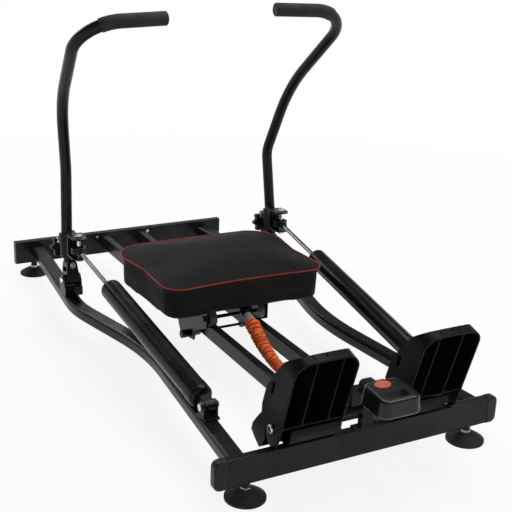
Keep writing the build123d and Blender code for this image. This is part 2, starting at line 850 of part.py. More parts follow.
def swivel(side, word):
    """Fork that carries the cylinder's base and turns on the rail bracket."""
    x = side * cylinder_x
    y = front_y + cylinder_reach
    gap = lug_width / 2 + lug_play
    with BuildPart() as fork:
        with BuildSketch(level(x, y, swivel_base_z)):
            Rectangle(2 * (gap + swivel_cheek), 2 * swivel_ear_radius)
        extrude(amount=-swivel_base)
        with BuildSketch(level(x, y, swivel_base_z)):
            Circle(swivel_pin_radius)
        extrude(amount=side_rail_top - bar_wall - swivel_base_z)
        for end in (-1, 1):
            with BuildSketch(across(x + end * gap, y, cylinder_pivot_z)):
                Circle(swivel_ear_radius)
                Rectangle(2 * swivel_ear_radius, cylinder_pivot_z - swivel_base_z,
                          align=(Align.CENTER, Align.MAX))
            extrude(amount=end * swivel_cheek)
        with BuildSketch(across(x, y, cylinder_pivot_z)):
            Circle(pivot_pin_radius)
        extrude(amount=gap + swivel_cheek, both=True, mode=Mode.SUBTRACT)
    save(fork.part, f"{word}_swivel_fork")
    save(hex_bolt(across(x, y, cylinder_pivot_z), 2 * (gap + swivel_cheek), pivot_pin_radius,
                  bolt_head_across, bolt_head_height), f"{word}_swivel_bolt")


def cylinder_bracket(side):
    """Plate on the side rail with the hole that the swivel fork turns in."""
    place = level(side * cylinder_x, front_y + cylinder_reach, side_rail_top)
    with BuildPart() as bracket:
        with BuildSketch(place):
            Rectangle(cylinder_bracket_width, cylinder_bracket_length)
            Circle(swivel_pin_radius + pin_clearance, mode=Mode.SUBTRACT)
        extrude(amount=swivel_base_z - swivel_base - face_clearance - side_rail_top)
    return bracket.part


def pedal_plane(depth):
    """Plane along a foot plate: its y climbs the plate, its z points to the front."""
    lean = radians(pedal_lean_degrees)
    facing = Plane((0, front_y, axle_z), x_dir=(1, 0, 0), z_dir=(0, -cos(lean), -sin(lean)))
    return facing.offset(depth)


def pedal_outline(side, inset):
    """Rounded outline of a foot plate, seen square to its rim."""
    inner = pedal_inner_x + inset
    outer = pedal_outer_x - inset
    with BuildSketch() as outline:
        with BuildLine():
            Polyline((side * inner, pedal_top - pedal_crown - inset), (side * inner, -axle_z),
                     (side * outer, -axle_z), (side * outer, pedal_top - pedal_crown - inset))
            ThreePointArc((side * inner, pedal_top - pedal_crown - inset),
                          (side * (inner + outer) / 2, pedal_top - inset),
                          (side * outer, pedal_top - pedal_crown - inset))
        make_face()
        fillet(outline.vertices().group_by(Axis.Y)[-1], pedal_corner - inset)
    return outline.sketch


def pedal_profile(shift):
    """Side outline of a foot plate about its axle, moved forward by the shift."""
    lean = radians(pedal_lean_degrees)
    rim = [
        (-pedal_front * cos(lean) - height * sin(lean), height * cos(lean) - pedal_front * sin(lean))
        for height in (0, pedal_top + pedal_front)
    ]
    points = rim + [(y - shift, z) for y, z in pedal_back_points] + [(rim[0][0], -pedal_bottom)]
    if shift:
        points[0] = (rim[0][0] - pedal_front, rim[0][1])
        points[1] = (rim[1][0] - pedal_front, rim[1][1])
        points[-1] = (rim[0][0] - pedal_front, -pedal_bottom)
    with BuildSketch() as profile:
        Polygon(*points, align=None)
    return profile.sketch


def pedal_form(side, inset, shift):
    """Solid that has both the side outline and the rim outline of a foot plate."""
    with BuildPart() as form:
        with BuildSketch(across(0, front_y, axle_z)):
            add(pedal_profile(shift))
        extrude(amount=side * (pedal_outer_x + cut_overrun))
        with BuildSketch(pedal_plane(-axle_z)):
            add(pedal_outline(side, inset))
        extrude(amount=2 * axle_z, mode=Mode.INTERSECT)
    return form.part


def pedal(side, word):
    """Moulded foot plate: a hollow wedge with ribs, tread bars, strap slots and axle tube."""
    middle = side * (pedal_inner_x + pedal_outer_x) / 2
    width = pedal_outer_x - pedal_inner_x
    hub_reach = pedal_front * cos(radians(pedal_lean_degrees))
    hub_drop = axle_z - front_bar_top - pedal_bar_clearance
    hollow = pedal_form(side, pedal_wall, pedal_sole)
    with BuildPart() as ribs:
        with BuildSketch(pedal_plane(-axle_z)):
            with Locations(*[(side * place, pedal_ledge_height) for place in pedal_rib_places]):
                Rectangle(pedal_rib, 2 * pedal_top, align=(Align.CENTER, Align.MIN))
            with Locations((middle, pedal_ledge_height)):
                Rectangle(width, pedal_rib)
        extrude(amount=axle_z + pedal_front - pedal_rib)
        add(hollow, mode=Mode.INTERSECT)
    with BuildPart() as plate:
        add(pedal_form(side, 0, 0))
        add(hollow, mode=Mode.SUBTRACT)
        add(ribs.part)
        with BuildSketch(across(side * (pedal_inner_x + pedal_tread_inset), front_y, axle_z)):
            with Locations(*pedal_tread_points):
                Circle(pedal_tread_radius)
        extrude(amount=side * (width - 2 * pedal_tread_inset))
        with BuildSketch(pedal_plane(-axle_z)):
            with Locations(*[(side * place, pedal_top - pedal_notch_depth)
                             for place in pedal_notch_places]):
                Rectangle(pedal_notch_width, pedal_top, align=(Align.CENTER, Align.MIN))
        extrude(amount=axle_z + pedal_front - pedal_lip, mode=Mode.SUBTRACT)
        with BuildSketch(across(0, front_y, axle_z)):
            with Locations((pedal_heel_gap, 0)):
                Rectangle(pedal_top, pedal_top, align=(Align.MAX, Align.MAX))
            Ellipse(hub_reach, hub_drop, mode=Mode.SUBTRACT)
        extrude(amount=side * (pedal_outer_x + cut_overrun), mode=Mode.SUBTRACT)
        boss_plane = across(side * pedal_inner_x, front_y, axle_z)
        with BuildSketch(boss_plane):
            Circle(pedal_boss_radius)
        extrude(amount=side * width)
        with BuildSketch(boss_plane):
            Ellipse(hub_reach, hub_drop)
            Ellipse(hub_reach - pedal_wall, hub_drop - pedal_wall, mode=Mode.SUBTRACT)
            Rectangle(2 * pedal_top, pedal_top, align=(Align.CENTER, Align.MIN),
                      mode=Mode.SUBTRACT)
        extrude(amount=side * (width - pedal_hub_inset))
        with BuildSketch(boss_plane):
            Circle(pedal_collar_radius)
        extrude(amount=side * (post_width / 2 + face_clearance - pedal_inner_x))
        with BuildSketch(across(0, front_y, axle_z)):
            Circle(axle_radius + pin_clearance)
        extrude(amount=side * (pedal_outer_x + cut_overrun), mode=Mode.SUBTRACT)
        slot_plane = pedal_plane(-pedal_slot_depth)
        slot_centre = slot_plane.from_local_coords(Vector(side * pedal_inner_x,
                                                          pedal_slot_height, 0))
        slot_side = Plane(slot_centre, x_dir=slot_plane.y_dir, z_dir=(1, 0, 0))
        with BuildSketch(slot_side):
            SlotOverall(pedal_slot_length, pedal_slot_width)
        extrude(amount=width + pedal_wall, both=True, mode=Mode.SUBTRACT)
    save(plate.part, f"{word}_foot_plate")


def front_fittings():
    """Axle of the foot plates, the post that carries it, and the counter."""
    with BuildPart() as axle:
        with BuildSketch(across(0, front_y, axle_z)):
            Circle(axle_radius)
        extrude(amount=axle_half_length, both=True)
        for end in (-1, 1):
            with BuildSketch(across(end * axle_half_length, front_y, axle_z)):
                Circle(axle_head_radius)
            extrude(amount=end * axle_head_height)
        fillet(axle.faces().sort_by(Axis.X)[-1].edges(), axle_head_height / 2)
        fillet(axle.faces().sort_by(Axis.X)[0].edges(), axle_head_height / 2)
    save(axle.part, "pedal_axle")
    with BuildPart() as post:
        with BuildSketch(level(0, front_y, front_bar_top)):
            Rectangle(post_foot_width, front_bar_depth)
        extrude(amount=post_foot_thickness)
        with BuildSketch(level(0, front_y, front_bar_top)):
            Rectangle(post_width, post_depth)
        extrude(amount=post_head_bottom - front_bar_top)
        with BuildSketch(level(0, front_y, post_head_bottom)):
            Rectangle(post_head_width, post_depth)
        extrude(amount=post_head_top - post_head_bottom)
        with BuildSketch(level(0, front_y, post_head_bottom)):
            Rectangle(post_neck_width, post_depth)
        extrude(amount=post_top - post_head_bottom)
        top_edges = post.faces().sort_by(Axis.Z)[-1].edges().filter_by(Axis.Y)
        fillet(top_edges, post_crown)
        with BuildSketch(level(0, front_y, counter_bottom)):
            Rectangle(post_width, post_arm_reach, align=(Align.CENTER, Align.MAX))
        extrude(amount=-post_arm_thickness)
        with BuildSketch(across(0, front_y, axle_z)):
            Circle(axle_radius)
        extrude(amount=post_width, both=True, mode=Mode.SUBTRACT)
    save(post.part, "counter_post")


def counter():
    """Counter with a recessed display and a sprung button."""
    length = counter_reach - counter_rear_reach
    mid_y = front_y - (counter_reach + counter_rear_reach) / 2
    slope = degrees(atan2(counter_rear_z - counter_front_z, length))
    mid_z = (counter_front_z + counter_rear_z) / 2
    top = Plane((0, mid_y, mid_z)).rotated((slope, 0, 0))
    screen_y = (mid_y - front_y + counter_screen_reach)
    button_y = (mid_y - front_y + counter_button_reach)
    with BuildPart() as case:
        with BuildSketch(level(0, mid_y, counter_bottom)):
            RectangleRounded(counter_width, length, counter_corner)
        extrude(amount=counter_rear_z - counter_bottom, taper=counter_draft_degrees)
        with BuildSketch(top):
            Rectangle(2 * counter_width, 2 * length)
        extrude(amount=counter_rear_z, mode=Mode.SUBTRACT)
        top_face = case.faces().sort_by(Axis.Z)[-1]
        fillet(top_face.edges(), counter_edge)
        bottom_face = case.faces().sort_by(Axis.Z)[0]
        fillet(bottom_face.edges(), counter_edge)
        with BuildSketch(level(0, mid_y, counter_bottom + counter_wall)):
            RectangleRounded(counter_width - 2 * counter_wall, length - 2 * counter_wall,
                             counter_corner - counter_wall)
        inner_height = counter_front_z - counter_bottom - counter_wall - counter_roof
        extrude(amount=inner_height, taper=counter_draft_degrees, mode=Mode.SUBTRACT)
        with BuildSketch(top):
            with Locations((0, -screen_y)):
                RectangleRounded(counter_screen_width, counter_screen_length,
                                 counter_screen_corner)
        extrude(amount=-counter_screen_depth, mode=Mode.SUBTRACT)
        with BuildSketch(top):
            with Locations((counter_button_x, -button_y)):
                Ellipse(counter_button_length / 2 + face_clearance,
                        counter_button_width / 2 + face_clearance)
        extrude(amount=-counter_rear_z + counter_bottom + counter_wall, mode=Mode.SUBTRACT)
    save(case.part, "counter_case")
    with BuildPart() as screen:
        with BuildSketch(top.offset(-counter_screen_depth)):
            with Locations((0, -screen_y)):
                RectangleRounded(counter_screen_width, counter_screen_length,
                                 counter_screen_corner)
        extrude(amount=counter_screen_thickness)
    save(screen.part, "counter_display")
    with BuildPart() as button:
        with BuildSketch(top.offset(counter_button_rise)):
            with Locations((counter_button_x, -button_y)):
                Ellipse(counter_button_length / 2, counter_button_width / 2)
        extrude(amount=-counter_button_rise - counter_wall - counter_button_travel)
        fillet(button.faces().sort_by(Axis.Z)[-1].edges(), counter_button_travel)
    save(button.part, "counter_button")


def strap_line():
    """Sagging centre line of the return strap, from the carriage to the anchor."""
    span = strap_top_reach - strap_end_reach
    drop = strap_top_z - strap_low_z
    corners = [
        (0, front_y + strap_top_reach - along_share * span, strap_low_z + up_share * drop)
        for along_share, up_share in strap_route_shares
    ]
    with BuildLine() as line:
        FilletPolyline(*corners, radius=[share * span for share in strap_bend_shares])
    return line.wire()


def return_strap():
    """Strap tube, its gathered sleeve, the socket on the carriage and the front anchor."""
    line = strap_line()
    with BuildPart() as strap:
        with BuildSketch(Plane(line @ 0, x_dir=(1, 0, 0), z_dir=line % 0)):
            Circle(strap_radius)
        sweep(path=line)
    save(strap.part, "return_strap")
    steps = 2 * sleeve_folds
    with BuildPart() as sleeve:
        for step in range(steps + 1):
            along = sleeve_top_gap + sleeve_length * step / steps
            taper = sleeve_top_radius + (sleeve_low_radius - sleeve_top_radius) * step / steps
            fold = sleeve_fold_depth * (step % 2)
            share = along / line.length
            with BuildSketch(Plane(line @ share, x_dir=(1, 0, 0), z_dir=line % share)):
                Circle(taper - fold)
        loft(ruled=True)
        with BuildSketch(Plane(line @ 0, x_dir=(1, 0, 0), z_dir=line % 0)):
            Circle(sleeve_bore_radius)
        sweep(path=line, mode=Mode.SUBTRACT)
    save(sleeve.part, "strap_sleeve")
    with BuildPart() as anchor:
        with BuildSketch(level(0, front_y + anchor_reach, rail_top)):
            Rectangle(2 * rail_outer, anchor_length)
        extrude(amount=anchor_thickness)
        tongue_y = front_y + anchor_reach + anchor_length / 2
        with BuildSketch(level(0, tongue_y, rail_top + anchor_thickness)):
            Rectangle(anchor_tongue_width, anchor_thickness, align=(Align.CENTER, Align.MAX))
        extrude(amount=anchor_tongue_z - rail_top - anchor_thickness - strap_radius * 2)
    save(anchor.part, "strap_anchor")


def seat_outline(z, inset):
    """Seat outline at one height, drawn in on all sides by the inset."""
    middle_y = front_y + seat_front_reach + seat_length / 2
    shrink_x = (seat_half_width - inset) / seat_half_width
    shrink_y = (seat_length - 2 * inset) / seat_length

    def place(shares, side=1):
        return (
            side * shares[0] * seat_half_width * shrink_x,
            middle_y + (shares[1] - 1 / 2) * seat_length * shrink_y,
        )

    right = [place(shares) for shares in seat_side_shares]
    left = [place(shares, -1) for shares in seat_side_shares]
    front = place((0, seat_front_middle_share))
    rear = place((0, 1))
    with BuildSketch(Plane.XY.offset(z)) as outline:
        with BuildLine():
            for row in (right, left):
                for start in range(0, len(row) - 1, 2):
                    ThreePointArc(row[start], row[start + 1], row[start + 2])
            ThreePointArc(right[-1], rear, left[-1])
            ThreePointArc(left[0], front, right[0])
        make_face()
    return outline.sketch


def seat():
    """Cushion with drawn-in sides and a crown, on its pan."""
    with BuildPart() as cushion:
        add(seat_outline(seat_bottom_z, seat_bottom_inset))
        add(seat_outline(seat_belly_z, seat_belly_inset))
        add(seat_outline(seat_side_z, seat_side_inset))
        add(seat_outline(seat_piping_z, 0))
        loft(ruled=True)
        add(seat_outline(seat_piping_z, 0))
        add(seat_outline(seat_crown_z, seat_crown_inset))
        add(seat_outline(seat_top_z, seat_top_inset))
        loft(ruled=True)
    save(cushion.part, "seat_cushion")
    with BuildPart() as pan:
        add(seat_outline(pan_bottom, pan_inset))
        extrude(amount=pan_thickness)
    save(pan.part, "seat_pan")


def wheel_places():
    """Reach, height, axle radius and wheel radius of each axle of the carriage."""
    top_z = rail_top + roller_radius + face_clearance
    guide_z = rail_bottom - guide_radius - face_clearance
    return (
        (roller_front_reach, top_z, roller_axle_radius, roller_radius, "front_rollers"),
        (roller_rear_reach, top_z, roller_axle_radius, roller_radius, "rear_rollers"),
        (guide_reach, guide_z, guide_axle_radius, guide_radius, "guide_rollers"),
    )


def carriage():
    """Side plates under the pan, the axles through them, the rollers and the lock knob."""
    top = pan_bottom
    outer = plate_inner_x + plate_thickness
    length = plate_rear_reach - plate_front_reach
    outline = [
        (front_y + plate_front_reach + across_share * length,
         plate_tip_z + up_share * (top - plate_tip_z))
        for across_share, up_share in plate_outline_shares
    ]
    socket_end = Vector(0, front_y + strap_top_reach, strap_top_z)
    line = strap_line()
    with BuildPart() as frame_part:
        with BuildSketch(level(0, front_y + plate_front_reach, top)):
            Rectangle(2 * outer, length, align=(Align.CENTER, Align.MIN))
        extrude(amount=-plate_thickness)
        for end in (-1, 1):
            with BuildSketch(across(end * plate_inner_x, 0, 0)):
                Polygon(*outline, align=None)
            extrude(amount=end * plate_thickness)
        for reach, z, axle, wheel, _ in wheel_places():
            for end in (-1, 1):
                with BuildSketch(across(end * plate_inner_x, front_y + reach, z)):
                    Circle(spacer_radius)
                extrude(amount=end * (roller_x + roller_width / 2 + face_clearance
                                      - plate_inner_x))
            with BuildSketch(across(0, front_y + reach, z)):
                Circle(axle)
            extrude(amount=outer + cut_overrun, both=True, mode=Mode.SUBTRACT)
        with BuildSketch(Plane(socket_end, x_dir=(1, 0, 0), z_dir=line % 0)):
            Circle(socket_radius)
        extrude(amount=-socket_length)
        with BuildSketch(level(0, front_y + plate_front_reach, top)):
            Rectangle(2 * socket_radius, plate_front_reach - strap_top_reach - socket_length / 2,
                      align=(Align.CENTER, Align.MAX))
        extrude(amount=-plate_thickness)
        with BuildSketch(across(-outer, front_y + lock_reach, lock_z)):
            Circle(lock_stem_radius + pin_clearance)
        extrude(amount=plate_thickness + cut_overrun, both=True, mode=Mode.SUBTRACT)
    save(frame_part.part, "seat_carriage")
    with BuildPart() as axles:
        for reach, z, axle, _, _ in wheel_places():
            with BuildSketch(across(0, front_y + reach, z)):
                Circle(axle)
            extrude(amount=outer, both=True)
            for end in (-1, 1):
                with BuildSketch(across(end * outer, front_y + reach, z)):
                    Circle(axle_cap_radius)
                extrude(amount=end * axle_cap_height)
    save(axles.part, "roller_axles")
    for reach, z, axle, wheel, label in wheel_places():
        with BuildPart() as rollers:
            for side, _ in sides:
                with BuildSketch(across(side * roller_x, front_y + reach, z)):
                    Circle(wheel)
                    Circle(axle + pin_clearance, mode=Mode.SUBTRACT)
                extrude(amount=roller_width / 2, both=True)
        save(rollers.part, label)
    with BuildPart() as lock:
        with BuildSketch(across(-outer, front_y + lock_reach, lock_z)):
            Circle(lock_stem_radius)
        extrude(amount=plate_thickness)
        with BuildSketch(across(-outer - face_clearance, front_y + lock_reach, lock_z)):
            Circle(lock_washer_radius)
        extrude(amount=-lock_washer_height)
        with BuildSketch(across(-outer, front_y + lock_reach, lock_z)):
            Circle(lock_stem_radius)
        extrude(amount=-lock_washer_height)
        knob_x = -outer - face_clearance - lock_washer_height
        with BuildSketch(across(knob_x, front_y + lock_reach, lock_z)):
            Circle(lock_knob_radius)
        extrude(amount=-lock_knob_height)
    save(lock.part, "lock_knob")


frame()
feet()
arm_mounts()
save(Compound([cylinder_bracket(-1), cylinder_bracket(1)]), "cylinder_brackets")
arm_block()
arm_tube()
arm_clamp()
for side, word in sides:
    cylinder(side, word)
    piston_rod(side, word)
    swivel(side, word)
    pedal(side, word)
front_fittings()
counter()
return_strap()
seat()
carriage()
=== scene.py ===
import logging
import math
from dataclasses import dataclass, field
from enum import Enum
from typing import Any, Callable, Sequence

import bpy
import numpy as np
from mathutils import Matrix, Vector


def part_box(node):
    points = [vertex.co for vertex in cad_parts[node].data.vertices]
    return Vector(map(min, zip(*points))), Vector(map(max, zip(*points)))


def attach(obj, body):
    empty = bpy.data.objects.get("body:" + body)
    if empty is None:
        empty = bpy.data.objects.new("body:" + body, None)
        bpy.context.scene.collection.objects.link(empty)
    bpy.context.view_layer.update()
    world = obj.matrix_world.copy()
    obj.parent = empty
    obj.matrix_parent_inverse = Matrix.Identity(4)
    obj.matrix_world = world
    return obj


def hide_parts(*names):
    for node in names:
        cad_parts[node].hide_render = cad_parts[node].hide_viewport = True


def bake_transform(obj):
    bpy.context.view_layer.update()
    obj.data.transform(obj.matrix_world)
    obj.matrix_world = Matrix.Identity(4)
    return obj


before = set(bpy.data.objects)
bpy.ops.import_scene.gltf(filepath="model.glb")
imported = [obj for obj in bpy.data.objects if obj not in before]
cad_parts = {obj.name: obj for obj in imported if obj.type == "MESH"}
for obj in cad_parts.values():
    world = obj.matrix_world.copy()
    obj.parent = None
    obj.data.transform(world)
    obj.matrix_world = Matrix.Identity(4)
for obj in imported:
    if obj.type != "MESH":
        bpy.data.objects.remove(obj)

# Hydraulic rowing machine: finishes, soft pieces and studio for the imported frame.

LOG = logging.getLogger("rowing_machine")
MM = 0.001
PHOTO_SIZE = 512
SENSOR_MM = 36.0
SEED = 11
SPLINE_STEPS = 40
STRAIGHT = 1e-12
TINY = 1e-9

Array = np.ndarray


# Small helpers for colours, nodes and meshes

def linear(hex_colour: str) -> tuple[float, float, float, float]:
    """Turn an sRGB hex colour into linear values.

    Args:
        hex_colour: Six hex digits after a hash sign.

    Returns:
        Linear red, green, blue and an alpha of one.
    """
    parts = np.array([int(hex_colour[i:i + 2], 16) for i in (1, 3, 5)]) / 255.0
    low = parts / 12.92
    high = ((parts + 0.055) / 1.055) ** 2.4
    red, green, blue = np.where(parts <= 0.04045, low, high)
    return float(red), float(green), float(blue), 1.0


def add_node(tree: bpy.types.NodeTree, kind: str, inputs: dict[Any, Any] | None = None,
             **settings: Any) -> bpy.types.Node:
    """Add a node with its settings, values and links.

    Args:
        tree: Node tree that gets the node.
        kind: Blender's name of the node class.
        inputs: Value or output socket for each named or numbered input.
        settings: Properties of the node.

    Returns:
        The new node.
    """
    node = tree.nodes.new(kind)
    for name, value in settings.items():
        setattr(node, name, value)
    for name, value in (inputs or {}).items():
        if isinstance(value, bpy.types.NodeSocket):
            tree.links.new(value, node.inputs[name])
        else:
            node.inputs[name].default_value = value
    return node


def new_material(name: str) -> tuple[bpy.types.Material, bpy.types.NodeTree, bpy.types.Node]:
    """Make an empty node material.

    Args:
        name: Name of the material.

    Returns:
        The material, its tree and its Principled shader, which is linked to the output.
    """
    material = bpy.data.materials.new(name)
    material.use_nodes = True
    tree = material.node_tree
    tree.nodes.clear()
    shader = add_node(tree, "ShaderNodeBsdfPrincipled")
    add_node(tree, "ShaderNodeOutputMaterial", {"Surface": shader.outputs[0]})
    return material, tree, shader


def mesh_object(name: str, points: Array, faces: Sequence[Sequence[int]],
                material: bpy.types.Material, smooth: bool = True) -> bpy.types.Object:
    """Make an object at the origin from points and faces in the frame's metres.

    Args:
        name: Name of the object.
        points: Array of shape (n, 3).
        faces: Vertex numbers of each face.
        material: Finish of the piece.
        smooth: Whether faces are shaded smooth.

    Returns:
        The new object.
    """
    mesh = bpy.data.meshes.new(name)
    mesh.from_pydata(points.tolist(), [], [list(face) for face in faces])
    mesh.polygons.foreach_set("use_smooth", [smooth] * len(mesh.polygons))
    mesh.update()
    piece = bpy.data.objects.new(name, mesh)
    bpy.context.scene.collection.objects.link(piece)
    mesh.materials.append(material)
    return piece


def grid_faces(rows: int, columns: int, wrap: bool) -> list[tuple[int, int, int, int]]:
    """Faces of a grid of points whose columns may close on themselves.

    Args:
        rows: Number of rows of points.
        columns: Number of points in a row.
        wrap: Whether the last column meets the first.

    Returns:
        Four vertex numbers for each face.
    """
    row, column = np.meshgrid(np.arange(rows - 1), np.arange(columns if wrap else columns - 1),
                              indexing="ij")
    after = (column + 1) % columns
    corners = [row * columns + column, row * columns + after,
               (row + 1) * columns + after, (row + 1) * columns + column]
    return [tuple(face) for face in np.stack(corners, -1).reshape(-1, 4).tolist()]


def set_uv(piece: bpy.types.Object, uv: Array) -> None:
    """Give each corner of a mesh the UV of its vertex.

    Args:
        piece: Object whose mesh gets a UV map.
        uv: Array of shape (vertices, 2).
    """
    mesh = piece.data
    layer = mesh.uv_layers.new(name="surface")
    index = np.empty(len(mesh.loops), np.int32)
    mesh.loops.foreach_get("vertex_index", index)
    layer.data.foreach_set("uv", uv[index].astype(np.float32).ravel())


def distances(line: Array) -> Array:
    """Distance of each point of a line from its first point, along the line.

    Args:
        line: Points, shape (n, 3).

    Returns:
        Array of shape (n,).
    """
    return np.concatenate([[0], np.cumsum(np.linalg.norm(np.diff(line, axis=0), axis=1))])


def read_vectors(items: Any, name: str) -> Array:
    """Read one vector of each vertex or face of a mesh.

    Args:
        items: Vertices or polygons of the mesh.
        name: Name of the vector.

    Returns:
        Array of shape (n, 3).
    """
    values = np.empty(len(items) * 3, np.float32)
    items.foreach_get(name, values)
    return values.reshape(-1, 3)


def spline(points: Array, step: float) -> Array:
    """Even points on a smooth curve that is drawn in by its control points.

    Each inner control point bends one parabola, (1 - t)^2 S + 2 t (1 - t) C + t^2 E, where S and
    E are the middles of the two runs beside it, or the curve's own end.

    Args:
        points: Control points, shape (n, 3).
        step: Greatest distance between two points of the result.

    Returns:
        Points at even distances, shape (m, 3).
    """
    middles = (points[1:-2] + points[2:-1]) / 2
    starts = np.concatenate([points[:1], middles])[:, None]
    ends = np.concatenate([middles, points[-1:]])[:, None]
    t = np.linspace(0, 1, SPLINE_STEPS)[None, :, None]
    curve = (1 - t) ** 2 * starts + 2 * t * (1 - t) * points[1:-1, None] + t ** 2 * ends
    line = curve.reshape(-1, 3)
    lengths = distances(line)
    places = np.linspace(0, lengths[-1], int(lengths[-1] / step) + 2)
    return np.stack([np.interp(places, lengths, line[:, axis]) for axis in range(3)], -1)


def path_frames(path: Array, side: Array, closed: bool = False) -> tuple[Array, Array, Array]:
    """Directions along and across a path.

    Args:
        path: Points of the path, shape (n, 3).
        side: Direction that the first cross direction stays close to.
        closed: Whether the path closes on itself.

    Returns:
        Unit tangents, first and second cross directions, each of shape (n, 3).
    """
    if closed:
        tangent = np.roll(path, -1, 0) - np.roll(path, 1, 0)
    else:
        tangent = np.gradient(path, axis=0)
    tangent = tangent / np.linalg.norm(tangent, axis=1, keepdims=True)
    first = side - tangent * (tangent @ side)[:, None]
    first = first / np.linalg.norm(first, axis=1, keepdims=True)
    return tangent, first, np.cross(tangent, first)


def tube(name: str, path: Array, radius: Callable[[Array, Array], Array] | float, sides: int,
         material: bpy.types.Material, side: Array, closed: bool = False) -> bpy.types.Object:
    """A round section carried along a path.

    A point is path(s) + r(s, t) * (cos t * first + sin t * second), with s the distance along
    the path and t the angle round it.

    Args:
        name: Name of the piece.
        path: Points of the path, shape (n, 3).
        radius: One radius, or a function of s and t.
        sides: Points round the section.
        material: Finish of the piece.
        side: Direction that the section's first axis stays close to.
        closed: Whether the path closes on itself.

    Returns:
        The tube, closed by a disc at each open end.
    """
    _, first, second = path_frames(path, side, closed)
    angle = np.linspace(0, 2 * np.pi, sides, endpoint=False)[None, :]
    along = distances(path)
    reach = radius(along[:, None], angle) if callable(radius) else np.full((len(path), sides), radius)
    ring = (np.cos(angle)[..., None] * first[:, None] + np.sin(angle)[..., None] * second[:, None])
    points = (path[:, None] + reach[..., None] * ring).reshape(-1, 3)
    faces: list[Sequence[int]] = list(grid_faces(len(path), sides, True))
    if closed:
        last = (len(path) - 1) * sides
        here = np.arange(sides)
        after = (here + 1) % sides
        faces += np.stack([last + here, last + after, after, here], -1).tolist()
    else:
        faces.append(list(range(sides))[::-1])
        faces.append([(len(path) - 1) * sides + i for i in range(sides)])
    faces = [face[::-1] for face in faces]
    piece = mesh_object(name, points, faces, material)
    uv = np.stack(np.broadcast_arrays(angle / (2 * np.pi) + 0 * along[:, None],
                                      along[:, None] + 0 * angle), -1)
    set_uv(piece, uv.reshape(-1, 2))
    return piece


def arc_points(start: Array, middle: Array, end: Array, count: int) -> Array:
    """Points on the circle arc through three points of a plane.

    The centre is where the perpendicular bisectors of both chords meet.

    Args:
        start: First point.
        middle: Point that the arc passes through.
        end: Last point, which is left out.
        count: Number of points.

    Returns:
        Array of shape (count, 2).
    """
    system = 2 * np.array([middle - start, end - start])
    if abs(np.linalg.det(system)) < STRAIGHT:
        share = np.linspace(0, 1, count, endpoint=False)[:, None]
        return start + (end - start) * share
    centre = np.linalg.solve(system, [middle @ middle - start @ start, end @ end - start @ start])
    radius = np.linalg.norm(start - centre)
    angles = [math.atan2(*(point - centre)[::-1]) for point in (start, middle, end)]
    sweep = (angles[2] - angles[0]) % (2 * math.pi)
    if (angles[1] - angles[0]) % (2 * math.pi) > sweep:
        sweep -= 2 * math.pi
    turn = angles[0] + np.linspace(0, sweep, count, endpoint=False)
    return centre + radius * np.stack([np.cos(turn), np.sin(turn)], -1)


# Finishes

def edge_share(tree: bpy.types.NodeTree, rounded: bpy.types.NodeSocket,
               full: float = 0.9) -> bpy.types.NodeSocket:
    """How far a surface turns at its rounded edges, from 0 on flats to 1 on edges.

    Args:
        tree: Node tree of the material.
        rounded: Normal of the rounded edge.
        full: Cosine between both normals at which the share is 1.

    Returns:
        Socket with the share.
    """
    flat = add_node(tree, "ShaderNodeNewGeometry").outputs["Normal"]
    turn = add_node(tree, "ShaderNodeVectorMath", {0: rounded, 1: flat}, operation="DOT_PRODUCT")
    share = add_node(tree, "ShaderNodeMapRange", {
        "Value": turn.outputs["Value"], "From Min": 1.0, "From Max": full,
        "To Min": 0.0, "To Max": 1.0})
    return share.outputs[0]


def uneven(tree: bpy.types.NodeTree, size_mm: float, low: float, high: float,
           detail: float = 3.0) -> bpy.types.NodeSocket:
    """Value that drifts between two limits in clouds of a given size.

    Args:
        tree: Node tree of the material.
        size_mm: Size of a cloud.
        low: Value in one cloud.
        high: Value in the next.
        detail: Smaller octaves that are added.

    Returns:
        Socket with the value.
    """
    place = add_node(tree, "ShaderNodeTexCoord").outputs["Object"]
    cloud = add_node(tree, "ShaderNodeTexNoise",
                     {"Vector": place, "Scale": 1000 / size_mm, "Detail": detail})
    drift = add_node(tree, "ShaderNodeMapRange", {
        "Value": cloud.outputs[0], "From Min": 0.3, "From Max": 0.7, "To Min": low, "To Max": high})
    return drift.outputs[0]


